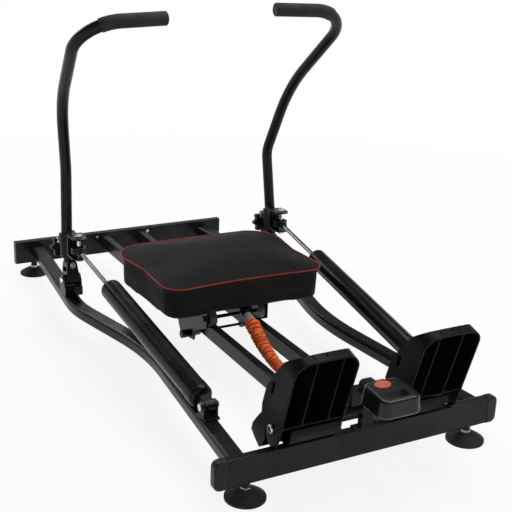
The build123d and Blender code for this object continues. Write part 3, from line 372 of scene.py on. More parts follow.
@dataclass(frozen=True)
class PowderCoat:
    """Powder-coated steel.

    Half-gloss black powder, baked on: nearly black and faintly blue, with a fine orange peel.
    The folded corners of plates and bars get a painted highlight in a lighter colour; round tubes
    have none.
    """

    name: str = "black_powder_coated_steel"
    colour: str = "#101214"
    # Second colour: the random tone drift, and the painted highlight on rounded corners.
    drift_and_highlight_colour: str = "#303337"
    roughness: float = 0.25
    gloss_level: float = 0.16
    peel_mm: float = 11.0
    corner_mm: float = 0.0

    def build(self) -> bpy.types.Material:
        """Coat with peel, drifting gloss and a painted highlight on the corners."""
        material, tree, shader = new_material(self.name)
        # The real peel is about 1 mm, and is drawn coarser so that it shows.
        bump = add_node(tree, "ShaderNodeBump", {
            "Height": uneven(tree, self.peel_mm, 0.0, 1.0, 0.0), "Strength": 0.03,
            "Distance": 0.0003})
        body = add_node(tree, "ShaderNodeMix", {
            0: uneven(tree, 45.0, 0.0, 0.12), 6: linear(self.colour),
            7: linear(self.drift_and_highlight_colour)}, data_type="RGBA")
        colour = body.outputs[2]
        if self.corner_mm:
            corner = add_node(tree, "ShaderNodeBevel", {"Radius": self.corner_mm * MM}, samples=6)
            tree.links.new(corner.outputs[0], bump.inputs["Normal"])
            # Painted highlight: the rounded corners get the lighter colour, in random strength.
            painted_edge_highlight = add_node(tree, "ShaderNodeMath", {
                0: edge_share(tree, corner.outputs[0]), 1: uneven(tree, 30.0, 0.35, 1.0)},
                operation="MULTIPLY")
            colour = add_node(tree, "ShaderNodeMix", {
                0: painted_edge_highlight.outputs[0], 6: colour, 7: linear(self.drift_and_highlight_colour)},
                data_type="RGBA").outputs[2]
        tree.links.new(colour, shader.inputs["Base Color"])
        tree.links.new(uneven(tree, 60.0, self.roughness - 0.05, self.roughness + 0.07),
                       shader.inputs["Roughness"])
        tree.links.new(bump.outputs[0], shader.inputs["Normal"])
        shader.inputs["Specular IOR Level"].default_value = self.gloss_level
        return material


@dataclass(frozen=True)
class PlatedSteel:
    """Plated steel.

    Chrome on the bolts, darker hard chrome on the rods and duller zinc on the nuts: a mirror that
    shows dark and bright bands of the room, broken by faint turning marks.
    """

    name: str = "chrome_plated_steel"
    colour: str = "#cfd1d3"
    roughness: float = 0.12

    def build(self) -> bpy.types.Material:
        """Mirror with fine turning marks and slightly cloudy patches."""
        material, tree, shader = new_material(self.name)
        marks = add_node(tree, "ShaderNodeBump", {
            "Height": uneven(tree, 9.0, 0.0, 1.0, 0.0), "Strength": 0.01, "Distance": 0.0001})
        shader.inputs["Base Color"].default_value = linear(self.colour)
        shader.inputs["Metallic"].default_value = 1.0
        tree.links.new(uneven(tree, 14.0, self.roughness * 0.7, self.roughness * 1.7),
                       shader.inputs["Roughness"])
        tree.links.new(marks.outputs[0], shader.inputs["Normal"])
        return material


@dataclass(frozen=True)
class MouldedPlastic:
    """Injection-moulded plastic.

    The mould is spark-eroded, so that the skin has a fine even grain, and the corners get a
    painted highlight in a little lighter colour.
    """

    name: str
    colour: str
    # Second colour: the random tone drift, and the painted highlight on the corners.
    drift_and_highlight_colour: str
    roughness: float = 0.45
    gloss_level: float = 0.25
    grain_mm: float = 1.3
    grain_strength: float = 0.18
    corner_mm: float = 1.2

    def build(self) -> bpy.types.Material:
        """Grained plastic with a painted highlight on its corners and uneven gloss."""
        material, tree, shader = new_material(self.name)
        place = add_node(tree, "ShaderNodeTexCoord").outputs["Object"]
        # The real grain is about 0.3 mm, and is drawn coarser so that it shows.
        grain = add_node(tree, "ShaderNodeTexVoronoi",
                         {"Vector": place, "Scale": 1000 / self.grain_mm})
        corner = add_node(tree, "ShaderNodeBevel", {"Radius": self.corner_mm * MM}, samples=6)
        bump = add_node(tree, "ShaderNodeBump", {
            "Height": grain.outputs[0], "Strength": self.grain_strength, "Distance": 0.0003,
            "Normal": corner.outputs[0]})
        # Painted highlight: the corners get the lighter colour, in random strength.
        painted_edge_highlight = add_node(tree, "ShaderNodeMath", {
            0: edge_share(tree, corner.outputs[0]), 1: uneven(tree, 25.0, 0.3, 1.0)},
            operation="MULTIPLY")
        body = add_node(tree, "ShaderNodeMix", {
            0: uneven(tree, 40.0, 0.0, 0.22), 6: linear(self.colour),
            7: linear(self.drift_and_highlight_colour)}, data_type="RGBA")
        colour = add_node(tree, "ShaderNodeMix", {
            0: painted_edge_highlight.outputs[0], 6: body.outputs[2], 7: linear(self.drift_and_highlight_colour)},
            data_type="RGBA")
        tree.links.new(colour.outputs[2], shader.inputs["Base Color"])
        tree.links.new(uneven(tree, 30.0, self.roughness - 0.07, self.roughness + 0.08),
                       shader.inputs["Roughness"])
        tree.links.new(bump.outputs[0], shader.inputs["Normal"])
        shader.inputs["Specular IOR Level"].default_value = self.gloss_level
        return material


@dataclass(frozen=True)
class Rubber:
    """Vulcanised rubber or closed-cell foam.

    Dull black with a soft sheen at grazing angles, small cells, and paler dusty patches.
    """

    name: str
    colour: str
    dust_colour: str
    cell_mm: float = 1.8
    strength: float = 0.25
    roughness: float = 0.65
    gloss_level: float = 0.25

    def build(self) -> bpy.types.Material:
        """Dull skin with cells of the given size and dusty patches."""
        material, tree, shader = new_material(self.name)
        bump = add_node(tree, "ShaderNodeBump", {
            "Height": uneven(tree, self.cell_mm, 0.0, 1.0, 5.0), "Strength": self.strength,
            "Distance": 0.0006})
        colour = add_node(tree, "ShaderNodeMix", {
            0: uneven(tree, 28.0, 0.0, 0.6, 5.0), 6: linear(self.colour),
            7: linear(self.dust_colour)}, data_type="RGBA")
        tree.links.new(colour.outputs[2], shader.inputs["Base Color"])
        tree.links.new(uneven(tree, 20.0, self.roughness - 0.08, self.roughness + 0.1),
                       shader.inputs["Roughness"])
        tree.links.new(bump.outputs[0], shader.inputs["Normal"])
        shader.inputs["Sheen Weight"].default_value = 0.04
        shader.inputs["Specular IOR Level"].default_value = self.gloss_level
        return material


@dataclass(frozen=True)
class SeatVinyl:
    """Embossed upholstery vinyl.

    A matt black skin on foam: small leather cells with creases between them, painted shade
    in the creases, a slight drift of tone, and almost no highlight.
    """

    name: str
    colour: str
    light_colour: str
    roughness: float = 0.6
    gloss_level: float = 0.15
    grain_mm: float = 2.2

    def build(self) -> bpy.types.Material:
        """Vinyl whose grain is a net of small cells with creases between them, and painted shade in
        the creases.
        """
        material, tree, shader = new_material(self.name)
        place = add_node(tree, "ShaderNodeTexCoord").outputs["Object"]
        # The real cells are about 1 mm, and are drawn coarser so that they show.
        cells = add_node(tree, "ShaderNodeTexVoronoi", {
            "Vector": place, "Scale": 1000 / self.grain_mm}, feature="DISTANCE_TO_EDGE")
        crease = add_node(tree, "ShaderNodeMapRange", {
            "Value": cells.outputs[0], "From Max": 0.12, "To Min": 0.0, "To Max": 1.0})
        bump = add_node(tree, "ShaderNodeBump", {
            "Height": crease.outputs[0], "Strength": 0.18, "Distance": 0.0004})
        worn = add_node(tree, "ShaderNodeMix", {
            0: uneven(tree, 60.0, 0.0, 1.0, 4.0), 6: linear(self.colour),
            7: linear(self.light_colour)}, data_type="RGBA")
        # Painted shade: the creases get 0.75 of the colour.
        colour = add_node(tree, "ShaderNodeMix", {
            0: crease.outputs[0], 6: (*(0.75 * c for c in linear(self.colour)[:3]), 1.0),
            7: worn.outputs[2]}, data_type="RGBA")
        tree.links.new(colour.outputs[2], shader.inputs["Base Color"])
        tree.links.new(uneven(tree, 50.0, self.roughness - 0.03, self.roughness + 0.03),
                       shader.inputs["Roughness"])
        tree.links.new(bump.outputs[0], shader.inputs["Normal"])
        shader.inputs["Specular IOR Level"].default_value = self.gloss_level
        return material


@dataclass(frozen=True)
class WovenNylon:
    """Woven nylon cloth.

    Bright orange, with a soft sheen, threads that cross, and painted shade in a darker orange
    in the folds between the gathers.
    """

    name: str = "woven_orange_nylon"
    colour: str = "#fb7330"
    # Darker orange: painted shade in the folds, and part of the random tone drift.
    drift_and_fold_shade_colour: str = "#9c3214"
    thread_mm: float = 1.6
    around_mm: float = 90.0

    def build(self) -> bpy.types.Material:
        """Weave as the product of two waves in the UV map, and painted shade in the folds."""
        material, tree, shader = new_material(self.name)
        uv = add_node(tree, "ShaderNodeUVMap", uv_map="surface").outputs[0]
        # Threads are about 0.4 mm, and are drawn coarser so that they show.
        waves = [
            add_node(tree, "ShaderNodeTexWave", {"Vector": uv, "Scale": scale / (2 * math.pi)},
                     bands_direction=direction).outputs["Fac"]
            for direction, scale in (("X", self.around_mm / self.thread_mm),
                                     ("Y", 1000 / self.thread_mm))]
        weave = add_node(tree, "ShaderNodeMath", {0: waves[0], 1: waves[1]}, operation="MULTIPLY")
        bump = add_node(tree, "ShaderNodeBump", {
            "Height": weave.outputs[0], "Strength": 0.3, "Distance": 0.0005})
        # Painted shade: the folds between the gathers get the darker orange.
        fold = add_node(tree, "ShaderNodeAttribute", attribute_name="fold").outputs["Fac"]
        bright = add_node(tree, "ShaderNodeMix", {
            0: uneven(tree, 9.0, 0.0, 0.3, 4.0), 6: linear(self.colour),
            7: linear(self.drift_and_fold_shade_colour)}, data_type="RGBA")
        colour = add_node(tree, "ShaderNodeMix", {
            0: fold, 6: bright.outputs[2], 7: linear(self.drift_and_fold_shade_colour)}, data_type="RGBA")
        shader.inputs["Roughness"].default_value = 0.65
        shader.inputs["Sheen Weight"].default_value = 0.1
        shader.inputs["Specular IOR Level"].default_value = 0.2
        tree.links.new(colour.outputs[2], shader.inputs["Base Color"])
        tree.links.new(bump.outputs[0], shader.inputs["Normal"])
        return material


@dataclass(frozen=True)
class DisplayPane:
    """Clear acrylic pane over a dark liquid crystal sheet.

    Switched off, it is a glossy near-black window with the faint cells of the sheet behind it.
    """

    name: str = "display_pane"
    colour: str = "#131617"
    cell_colour: str = "#171b1c"
    rim_colour: str = "#0e1011"

    def build(self) -> bpy.types.Material:
        """Glossy pane with faint cells."""
        material, tree, shader = new_material(self.name)
        place = add_node(tree, "ShaderNodeTexCoord").outputs["Object"]
        cells = add_node(tree, "ShaderNodeTexBrick", {
            "Vector": place, "Scale": 220.0, "Mortar Size": 0.03, "Color1": linear(self.colour),
            "Color2": linear(self.cell_colour), "Mortar": linear(self.rim_colour)})
        shader.inputs["Roughness"].default_value = 0.1
        shader.inputs["Coat Weight"].default_value = 0.3
        tree.links.new(cells.outputs[0], shader.inputs["Base Color"])
        return material


class Finish(Enum):
    """Finishes of the machine."""

    TUBE = PowderCoat()
    BAR = PowderCoat("black_powder_coated_bar", drift_and_highlight_colour="#55595e", corner_mm=2.4)
    PLATE = PowderCoat("black_powder_coated_plate", corner_mm=1.2)
    CYLINDER = PowderCoat("gloss_black_powder_coat", "#0e0f10", "#2c2d2f", 0.22, 0.18)
    CHROME = PlatedSteel()
    ROD = PlatedSteel("hard_chrome_piston_rod", "#7d8084", 0.16)
    BRIGHT_ZINC = PlatedSteel("zinc_plated_steel", "#b3b5b4", 0.27)
    DARK_SCREW = PlatedSteel("black_oxide_steel", "#191a1c", 0.32)
    BLACK_PLASTIC = MouldedPlastic("black_nylon", "#111213", "#2f3133")
    CAP = MouldedPlastic("black_cap_nylon", "#101112", "#54575b", 0.3, 0.2, corner_mm=2.4)
    COUNTER = MouldedPlastic("black_abs", "#131314", "#232527", 0.27, 0.34, 0.9, 0.05, 0.6)
    PEDAL = MouldedPlastic("black_polypropylene", "#0c0c0d", "#1d1e1f", 0.4, 0.07, corner_mm=2.4)
    FERRULE = MouldedPlastic("clouded_polyethylene", "#8b8b8a", "#a9a9a7", 0.4, 0.4)
    ROLLER = MouldedPlastic("grey_acetal", "#58595a", "#77787a", 0.4, 0.4)
    BUTTON = MouldedPlastic("red_abs", "#c2524c", "#d67a72", 0.28, 0.5, 0.8, 0.05)
    FOOT = Rubber("moulded_rubber", "#161617", "#2e2e2f", 1.8, 0.15)
    GRIP = Rubber("nitrile_foam", "#19191a", "#2b2b2c", 1.9, 0.35)
    STRAP = Rubber("grey_rubber_tube", "#6d6c6b", "#8a8987", 1.4, 0.1)
    # The top vinyl is a lighter black than the side vinyl.
    SEAT_TOP = SeatVinyl("black_seat_vinyl", "#1a1a1b", "#1c1c1d", gloss_level=0.05)
    SEAT_SIDE = SeatVinyl("black_side_vinyl", "#111112", "#151516")
    PIPING = SeatVinyl("red_piping_vinyl", "#8c2e1f", "#a03a27", 0.5)
    SLEEVE = WovenNylon()
    DISPLAY = DisplayPane()


class Palette:
    """Materials of the finishes, each built once."""

    def __init__(self) -> None:
        """Start with no material built."""
        self._built: dict[Finish, bpy.types.Material] = {}

    def __getitem__(self, finish: Finish) -> bpy.types.Material:
        """Material of a finish, built at its first use."""
        if finish not in self._built:
            self._built[finish] = finish.value.build()
        return self._built[finish]


@dataclass
class SubAssembly:
    """A group of pieces that is built and dressed together."""

    palette: Palette

    def dress(self, finish: Finish, *nodes: str) -> None:
        """Give nodes of the frame a finish.

        Args:
            finish: Finish that the nodes get.
            nodes: Names of the nodes.
        """
        for name in nodes:
            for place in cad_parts[name].material_slots:
                place.material = self.palette[finish]

    def both(self, finish: Finish, *names: str) -> None:
        """Give the left and the right node of each name a finish.

        Args:
            finish: Finish that the nodes get.
            names: Names without their side.
        """
        for name in names:
            self.dress(finish, f"left_{name}", f"right_{name}")

    def build(self) -> list[bpy.types.Object]:
        """Dress the nodes and make the new pieces.

        Returns:
            The new pieces.
        """
        return []


@dataclass
class Chassis(SubAssembly):
    """Crossbars, rails, feet and what is fixed to them."""

    def build(self) -> list[bpy.types.Object]:
        """Dress the steel frame, its caps, screws and feet.

        Returns:
            No new pieces.
        """
        self.dress(Finish.BAR, "front_crossbar", "rear_crossbar")
        self.both(Finish.BAR, "center_rail")
        self.both(Finish.TUBE, "side_rail")
        self.dress(Finish.PLATE, "arm_brackets", "cylinder_brackets", "strap_anchor",
                   "counter_post")
        self.dress(Finish.CAP, "end_caps")
        self.dress(Finish.BRIGHT_ZINC, "frame_bolts", "foot_nuts")
        self.dress(Finish.CHROME, "arm_pivot_bolts", "pedal_axle")
        self.dress(Finish.FOOT, "front_left_foot", "front_right_foot", "rear_left_foot",
                   "rear_right_foot")
        return []


@dataclass
class Arms(SubAssembly):
    """Arm tubes with their blocks, clamps, knobs and grips."""

    def build(self) -> list[bpy.types.Object]:
        """Dress both arms.

        Returns:
            No new pieces.
        """
        self.both(Finish.TUBE, "arm_tube")
        self.both(Finish.PLATE, "arm_block", "arm_clamp")
        self.both(Finish.CHROME, "tilt_bolt", "clamp_bolts")
        self.both(Finish.BLACK_PLASTIC, "star_knob")
        self.both(Finish.GRIP, "grip")
        return []


@dataclass
class Cylinders(SubAssembly):
    """Hydraulic cylinders with their rods and swivel forks."""

    def build(self) -> list[bpy.types.Object]:
        """Dress both cylinders.

        Returns:
            No new pieces.
        """
        self.both(Finish.CYLINDER, "cylinder")
        self.both(Finish.ROD, "piston_rod")
        self.both(Finish.CHROME, "swivel_bolt")
        self.both(Finish.PLATE, "rod_eye", "swivel_fork")
        return []


@dataclass
class FootPlates(SubAssembly):
    """Moulded foot plates."""

    def build(self) -> list[bpy.types.Object]:
        """Dress both foot plates.

        Returns:
            No new pieces.
        """
        self.both(Finish.PEDAL, "foot_plate")
        return []


@dataclass
class Counter(SubAssembly):
    """Stroke counter on its post."""

    def build(self) -> list[bpy.types.Object]:
        """Dress the counter.

        Returns:
            No new pieces.
        """
        self.dress(Finish.COUNTER, "counter_case")
        self.dress(Finish.DISPLAY, "counter_display")
        self.dress(Finish.BUTTON, "counter_button")
        return []


@dataclass
class Seat(SubAssembly):
    """Cushion with piping on a pan, and the carriage under it."""

    half_width: float = 195 * MM
    length: float = 304 * MM
    piping_radius: float = 1.5 * MM
    piping_inset: float = 1.0 * MM
    piping_height: float = 66 * MM
    crown: float = 12.5 * MM
    side_points: int = 24
    flank_rings: int = 22
    crown_rings: int = 26
    bottom_rings: tuple[float, ...] = (0.05, 0.3, 0.6)
    waist_power: float = 1.6
    crown_power: float = 2.6
    crown_hole: float = 0.03
    voxel: float = 5 * MM
    pressure: float = 4.0
    cloth_steps: int = 20
    swell_cap: float = 5 * MM
    still_at_piping: float = 14 * MM
    still_at_base: float = 8 * MM
    piping_sides: int = 10
    outline_shares: tuple[tuple[float, float], ...] = (
        (0.769, 0.0), (0.903, 0.039), (0.959, 0.138), (0.954, 0.303), (0.938, 0.451),
        (0.964, 0.566), (1.0, 0.714), (0.923, 0.911), (0.718, 0.993))
    front_middle_share: float = 0.026
    base_shares: tuple[tuple[float, float], ...] = (
        (0.769, 0.0), (0.903, 0.039), (0.959, 0.138), (0.966, 0.303), (0.975, 0.451),
        (0.988, 0.566), (1.0, 0.714), (0.923, 0.911), (0.718, 0.993))
    side_profile: tuple[tuple[float, float], ...] = (
        (0.0, 8.0), (0.05, 4.2), (0.15, 2.2), (0.6, 1.6), (0.85, 1.4), (1.0, 1.0))
    low: Array = field(init=False)
    centre: Array = field(init=False)
    seam: float = field(init=False)

    def __post_init__(self) -> None:
        """Read where the cushion stands from the frame."""
        self.low = np.array(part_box("seat_cushion")[0])
        self.centre = np.array([0, self.low[1] + self.length / 2])
        self.seam = self.low[2] + self.piping_height

    def outline(self, shares: tuple[tuple[float, float], ...]) -> Array:
        """Closed outline of the seat, as arcs through chosen points.

        Args:
            shares: Points of the right side, as shares of the half width and the length.

        Returns:
            Points round the seat, shape (n, 2).
        """
        right = np.array([(x * self.half_width, self.low[1] + y * self.length)
                          for x, y in shares])
        left = right * (-1, 1)
        front = np.array([0, self.low[1] + self.front_middle_share * self.length])
        rear = np.array([0, self.low[1] + self.length])
        count = self.side_points
        arcs = [arc_points(right[i], right[i + 1], right[i + 2], count) for i in (0, 2, 4, 6)]
        arcs.append(arc_points(right[-1], rear, left[-1], 3 * count))
        arcs += [arc_points(left[i], left[i - 1], left[i - 2], count) for i in (8, 6, 4, 2)]
        arcs.append(arc_points(left[0], front, right[0], 3 * count))
        return np.concatenate(arcs)

    def closed_form(self) -> tuple[Array, list[Sequence[int]]]:
        """Cushion as rings of the outline, drawn in by a profile.

        A ring is centre + (outline - centre) * (1 - inset / half width), where the outline goes
        from the waistless base to the piping's. The crown rises as 1 - s**crown_power with s the
        share of the way from the centre to the piping.

        Returns:
            Points and faces of the closed form.
        """
        outline = self.outline(self.outline_shares)
        base = self.outline(self.base_shares)
        bottom = self.low[2]
        heights, insets = np.array(self.side_profile).T
        rise = np.linspace(0, 1, self.flank_rings)
        inset = np.interp(rise, heights, insets) * MM
        start = 1 - insets[0] * MM / self.half_width
        rings = [(share * start, bottom, 0.0) for share in self.bottom_rings]
        rings += [(1 - i / self.half_width, bottom + r * self.piping_height, r ** self.waist_power)
                  for i, r in zip(inset, rise)]
        rings += [(share, self.seam + self.crown * (1 - share ** self.crown_power), 1.0)
                  for share in np.linspace(1, self.crown_hole, self.crown_rings)[1:]]
        points = np.concatenate([
            np.column_stack([
                self.centre + (base + (outline - base) * waist - self.centre) * share,
                np.full(len(outline), z)])
            for share, z, waist in rings])
        faces: list[Sequence[int]] = list(grid_faces(len(rings), len(outline), True))
        faces.append(list(range(len(outline)))[::-1])
        faces.append([(len(rings) - 1) * len(outline) + i for i in range(len(outline))])
        return points, faces

    def swell(self, piece: bpy.types.Object) -> None:
        """Blow the cushion up a little as cloth, least at the piping and at the pan.

        No point moves farther than swell_cap.

        Args:
            piece: Cushion, changed in place.
        """
        remesh = piece.modifiers.new("voxels", "REMESH")
        remesh.mode = "VOXEL"
        remesh.voxel_size = self.voxel
        bpy.context.view_layer.objects.active = piece
        bpy.ops.object.modifier_apply(modifier="voxels")
        start = read_vectors(piece.data.vertices, "co")
        cloth = piece.modifiers.new("skin", "CLOTH")
        cloth.settings.use_pressure = True
        cloth.settings.uniform_pressure_force = self.pressure
        cloth.settings.effector_weights.gravity = 0
        scene = bpy.context.scene
        for number in range(1, self.cloth_steps + 1):
            scene.frame_set(number)
        bpy.ops.object.modifier_apply(modifier="skin")
        scene.frame_set(1)
        move = read_vectors(piece.data.vertices, "co") - start
        reach = np.linalg.norm(move, axis=1, keepdims=True)
        move *= np.minimum(1, self.swell_cap / np.maximum(reach, TINY))
        far = np.clip(np.abs(start[:, 2] - self.seam) / self.still_at_piping, 0, 1)
        base = np.clip((start[:, 2] - self.low[2]) / self.still_at_base, 0, 1)
        weight = (far * far * (3 - 2 * far) * base)[:, None]
        piece.data.vertices.foreach_set("co", (start + move * weight).ravel())
        piece.data.update()

    def build(self) -> list[bpy.types.Object]:
        """Make the cushion and its piping and dress the carriage.

        Returns:
            The cushion and the piping.
        """
        self.dress(Finish.BLACK_PLASTIC, "lock_knob")
        self.dress(Finish.PLATE, "seat_pan", "seat_carriage")
        self.dress(Finish.DARK_SCREW, "roller_axles")
        self.dress(Finish.ROLLER, "front_rollers", "rear_rollers", "guide_rollers")
        points, faces = self.closed_form()
        cushion = mesh_object("cushion", points, faces, self.palette[Finish.SEAT_SIDE])
        self.swell(cushion)
        cushion.data.materials.append(self.palette[Finish.SEAT_TOP])
        polygons = cushion.data.polygons
        top = read_vectors(polygons, "center")[:, 2] > self.seam
        polygons.foreach_set("material_index", top.astype(np.int32))
        polygons.foreach_set("use_smooth", np.ones(len(polygons), bool))
        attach(cushion, "seat")
        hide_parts("seat_cushion")
        outline = self.centre + (self.outline(self.outline_shares) - self.centre) * (
            1 - self.piping_inset / self.half_width)
        ring = np.column_stack([outline, np.full(len(outline), self.seam)])
        piping = tube("piping", ring, self.piping_radius, self.piping_sides,
                      self.palette[Finish.PIPING], np.array([0, 0, 1.0]), closed=True)
        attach(piping, "seat")
        return [cushion, piping]


@dataclass
class ReturnStrap(SubAssembly):
    """Rubber tube under a gathered cloth sleeve, from the carriage to the front anchor."""

    front_y: float = -557.625
    route: tuple[tuple[float, float], ...] = (
        (450.0, 122.0), (435.9, 116.9), (367.0, 75.3), (290.0, 58.0), (189.6, 61.8), (78.0, 75.3))
    tube_radius: float = 7.0
    ferrule_length: float = 20.0
    ferrule_radii: tuple[float, float] = (9.0, 12.0)
    sleeve_start: float = 17.0
    sleeve_length: float = 167.0
    top_radius: float = 16.5
    low_radius: float = 11.5
    gathers: int = 17
    step: float = 0.8
    tube_sides: int = 24
    sleeve_sides: int = 96
    ferrule_sides: int = 32
    wave_share: float = 0.025
    waves: float = 2.3
    wander: float = 0.75
    gather_power: float = 0.75
    fold_depth: float = 0.19
    fold_drift: float = 0.07
    inner_radius: float = 8.0
    hem_share: float = 0.35
    hems: float = 16.0

    def centre_line(self) -> Array:
        """Centre line of the tube in metres, from the carriage to the anchor.

        Returns:
            Points of the line, shape (n, 3).
        """
        return spline(np.array([(0, self.front_y + y, z) for y, z in self.route]) * MM,
                      self.step * MM)

    def gathers_at(self, along: Array, angle: Array) -> Array:
        """How far the cloth stands out, from 0 in a fold to 1 on a gather.

        It is |sin(phase)|, whose phase is the distance in gathers, bent round the section by slow
        waves, so that the gathers run together and part again.

        Args:
            along: Distance from the sleeve's start, in metres.
            angle: Angle round the section.

        Returns:
            Share for each distance and angle.
        """
        share = along / (self.sleeve_length * MM)
        rng = np.random.default_rng(SEED)
        phase = np.pi * self.gathers * (
            share + self.wave_share * np.sin(2 * np.pi * self.waves * share + 1.0))
        for order in (1, 2, 3, 5):
            shift, speed = rng.uniform(0, 2 * np.pi), rng.uniform(2, 7)
            phase = phase + self.wander / order * np.sin(
                order * angle + shift + speed * share * 2 * np.pi)
        return np.abs(np.sin(phase)) ** self.gather_power

    def sleeve_radius(self, along: Array, angle: Array) -> Array:
        """Radius of the gathered cloth: a taper, less the depth of the folds.

        Args:
            along: Distance from the sleeve's start, in metres.
            angle: Angle round the section.

        Returns:
            Radius for each distance and angle, in metres.
        """
        share = along / (self.sleeve_length * MM)
        depth = self.fold_depth + self.fold_drift * np.sin(2 * angle + 9 * share * np.pi)
        taper = self.top_radius + (self.low_radius - self.top_radius) * share
        body = taper * (1 - depth * (1 - self.gathers_at(along, angle)))
        ends = np.clip(np.minimum(share, 1 - share) * self.hems, 0, 1)
        height = self.hem_share + (1 - self.hem_share) * ends
        return MM * (self.inner_radius + (body - self.inner_radius) * height)

    def build(self) -> list[bpy.types.Object]:
        """Make the tube, its ferrule and its sleeve, from the carriage to the anchor.

        The ferrule is a cone whose radius grows evenly along the tube.

        Returns:
            Tube, ferrule and sleeve.
        """
        line = self.centre_line()
        side = np.array([1.0, 0, 0])
        lengths = distances(line)
        strap = tube("strap_tube", line, self.tube_radius * MM, self.tube_sides,
                     self.palette[Finish.STRAP], side)
        cover = (lengths > self.sleeve_start * MM) & (
            lengths < (self.sleeve_start + self.sleeve_length) * MM)
        sleeve = tube("gathered_sleeve", line[cover], self.sleeve_radius, self.sleeve_sides,
                      self.palette[Finish.SLEEVE], side)
        narrow, wide = np.array(self.ferrule_radii) * MM
        ferrule = tube("strap_ferrule", line[lengths < self.ferrule_length * MM],
                       lambda s, t: narrow + (wide - narrow) * s / (self.ferrule_length * MM) + 0 * t,
                       self.ferrule_sides, self.palette[Finish.FERRULE], side)
        along = lengths[cover][:, None] - lengths[cover][0]
        angle = np.linspace(0, 2 * np.pi, self.sleeve_sides, endpoint=False)[None, :]
        # The fold attribute masks the painted shade in the sleeve's folds.
        fold = sleeve.data.attributes.new("fold", "FLOAT", "POINT")
        fold.data.foreach_set("value", (1 - self.gathers_at(along, angle)).ravel())
        for piece, finish in ((strap, "strap_rubber"), (ferrule, "strap_rubber"),
                              (sleeve, "sleeve_fabric")):
            line[-1].tolist()
            line[0].tolist()
            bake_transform(piece)
        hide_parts("return_strap")
        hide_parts("strap_sleeve")
        return [strap, ferrule, sleeve]


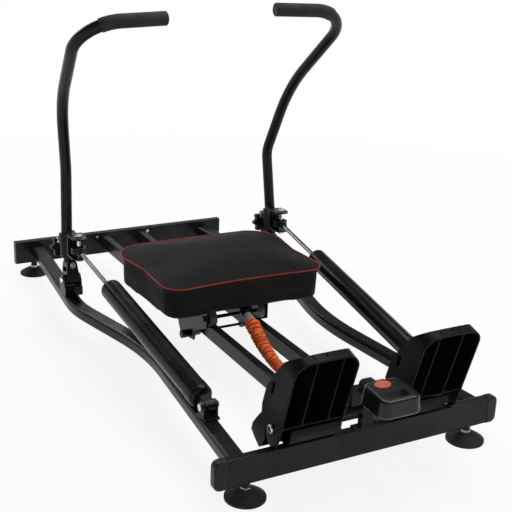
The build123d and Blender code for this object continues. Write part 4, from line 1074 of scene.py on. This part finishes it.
@dataclass
class Studio:
    """Floor, room, lamps and the camera of the photograph."""

    camera_place: tuple[float, float, float] = (-954.9, -1853.1, 952.3)
    azimuth: float = -29.08
    elevation: float = 19.29
    roll: float = 2.33
    focal_pixels: float = 1010.84
    floor_half: float = 12.0
    floor_white: float = 0.86
    floor_plain: tuple[float, float] = (0.9, 2.6)
    horizon: tuple[float, float] = (0.12, 0.36)
    ceiling: float = 0.12
    lamp_aim: tuple[float, float, float] = (0.0, 0.0, 0.2)

    def camera(self) -> None:
        """Place the camera where the photograph was taken from."""
        turn, rise, roll = np.radians([self.azimuth, self.elevation, self.roll])
        back = np.array([np.sin(turn) * np.cos(rise), -np.cos(turn) * np.cos(rise), np.sin(rise)])
        right = np.cross(-back, [0, 0, 1.0])
        right /= np.linalg.norm(right)
        up = np.cross(right, -back)
        right, up = (right * np.cos(roll) + up * np.sin(roll),
                     up * np.cos(roll) - right * np.sin(roll))
        data = bpy.data.cameras.new("camera")
        data.sensor_width = SENSOR_MM
        data.lens = self.focal_pixels * SENSOR_MM / PHOTO_SIZE
        data.clip_end = 100
        camera = bpy.data.objects.new("camera", data)
        bpy.context.scene.collection.objects.link(camera)
        matrix = np.eye(4)
        matrix[:3, 0], matrix[:3, 1], matrix[:3, 2] = right, up, back
        matrix[:3, 3] = np.array(self.camera_place) * MM
        camera.matrix_world = Matrix(matrix.tolist())
        bpy.context.scene.camera = camera

    @staticmethod
    def seen(tree: bpy.types.NodeTree) -> bpy.types.NodeSocket:
        """One where the camera, a mirror or a clear pane looks, and else zero.

        Args:
            tree: Node tree of the material.

        Returns:
            Socket with the share.
        """
        path = add_node(tree, "ShaderNodeLightPath")
        direct = add_node(tree, "ShaderNodeMath", {
            0: path.outputs["Is Camera Ray"], 1: path.outputs["Is Glossy Ray"]})
        return add_node(tree, "ShaderNodeMath", {
            0: direct.outputs[0], 1: path.outputs["Is Transmission Ray"]},
            use_clamp=True).outputs[0]

    def floor(self) -> None:
        """White floor that keeps a soft shadow."""
        material, tree, shader = new_material("studio_floor")
        shader.inputs["Base Color"].default_value = linear("#f7f7f7")
        shader.inputs["Roughness"].default_value = 0.9
        shader.inputs["Specular IOR Level"].default_value = 0.0
        white = add_node(tree, "ShaderNodeEmission", {"Color": (1, 1, 1, 1), "Strength": 1.0})
        place = add_node(tree, "ShaderNodeTexCoord").outputs["Object"]
        away = add_node(tree, "ShaderNodeVectorMath", {0: place}, operation="LENGTH")
        plain = add_node(tree, "ShaderNodeMapRange", {
            "Value": away.outputs["Value"], "From Min": self.floor_plain[0],
            "From Max": self.floor_plain[1], "To Min": self.floor_white, "To Max": 1.0},
            interpolation_type="SMOOTHSTEP")
        share = add_node(tree, "ShaderNodeMath", {0: self.seen(tree), 1: plain.outputs[0]},
                         operation="MULTIPLY")
        mixed = add_node(tree, "ShaderNodeMixShader", {
            0: share.outputs[0], 1: shader.outputs[0], 2: white.outputs[0]})
        output = next(n for n in tree.nodes if n.type == "OUTPUT_MATERIAL")
        tree.links.new(mixed.outputs[0], output.inputs["Surface"])
        half = self.floor_half
        corners = np.array([(-half, -half, 0), (half, -half, 0), (half, half, 0), (-half, half, 0)])
        plane = mesh_object("studio_floor", corners, [(0, 1, 2, 3)], material, smooth=False)

    def room(self) -> None:
        """Room that is white at the horizon and darker overhead."""
        world = bpy.data.worlds.new("studio")
        world.use_nodes = True
        tree = world.node_tree
        tree.nodes.clear()
        way = add_node(tree, "ShaderNodeTexCoord").outputs["Generated"]
        height = add_node(tree, "ShaderNodeSeparateXYZ", {0: way}).outputs["Z"]
        share = add_node(tree, "ShaderNodeMapRange", {
            "Value": height, "From Min": self.horizon[0], "From Max": self.horizon[1],
            "To Min": 1.0, "To Max": self.ceiling}, interpolation_type="SMOOTHSTEP")
        soft = add_node(tree, "ShaderNodeBackground", {
            "Color": (1, 1, 1, 1), "Strength": share.outputs[0]})
        add_node(tree, "ShaderNodeOutputWorld", {"Surface": soft.outputs[0]})
        bpy.context.scene.world = world

    def lamp(self, name: str, place: tuple[float, float, float], size: tuple[float, float],
             power: float) -> None:
        """Flat lamp that faces the machine.

        Args:
            name: Name of the lamp.
            place: Where it stands, in metres.
            size: Width and length, in metres.
            power: Watts.
        """
        data = bpy.data.lights.new(name, "AREA")
        data.shape = "RECTANGLE"
        data.size, data.size_y = size
        data.energy = power
        holder = bpy.data.objects.new(name, data)
        away = Vector(place) - Vector(self.lamp_aim)
        holder.location = place
        holder.rotation_euler = away.to_track_quat("Z", "Y").to_euler()
        bpy.context.scene.collection.objects.link(holder)

    def build(self) -> None:
        """Set up camera, floor and light."""
        self.camera()
        self.floor()
        self.room()
        self.lamp("overhead", (0.7, 0.3, 2.8), (2.0, 2.0), 48)
        self.lamp("front_box", (1.0, -1.2, 1.9), (1.8, 0.5), 15)
        self.lamp("rear_box", (-0.3, 2.2, 1.6), (2.4, 0.5), 19)
        bpy.context.scene.view_settings.view_transform = "Standard"


def main() -> None:
    """Build every sub-assembly in order."""
    logging.basicConfig(level=logging.INFO)
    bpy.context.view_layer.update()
    Studio().build()
    palette = Palette()
    for kind in (Chassis, Arms, Cylinders, FootPlates, Counter, ReturnStrap, Seat):
        for piece in kind(palette).build():
            LOG.info("%s has %d faces", piece.name, len(piece.data.polygons))


if __name__ == "__main__":
    main()
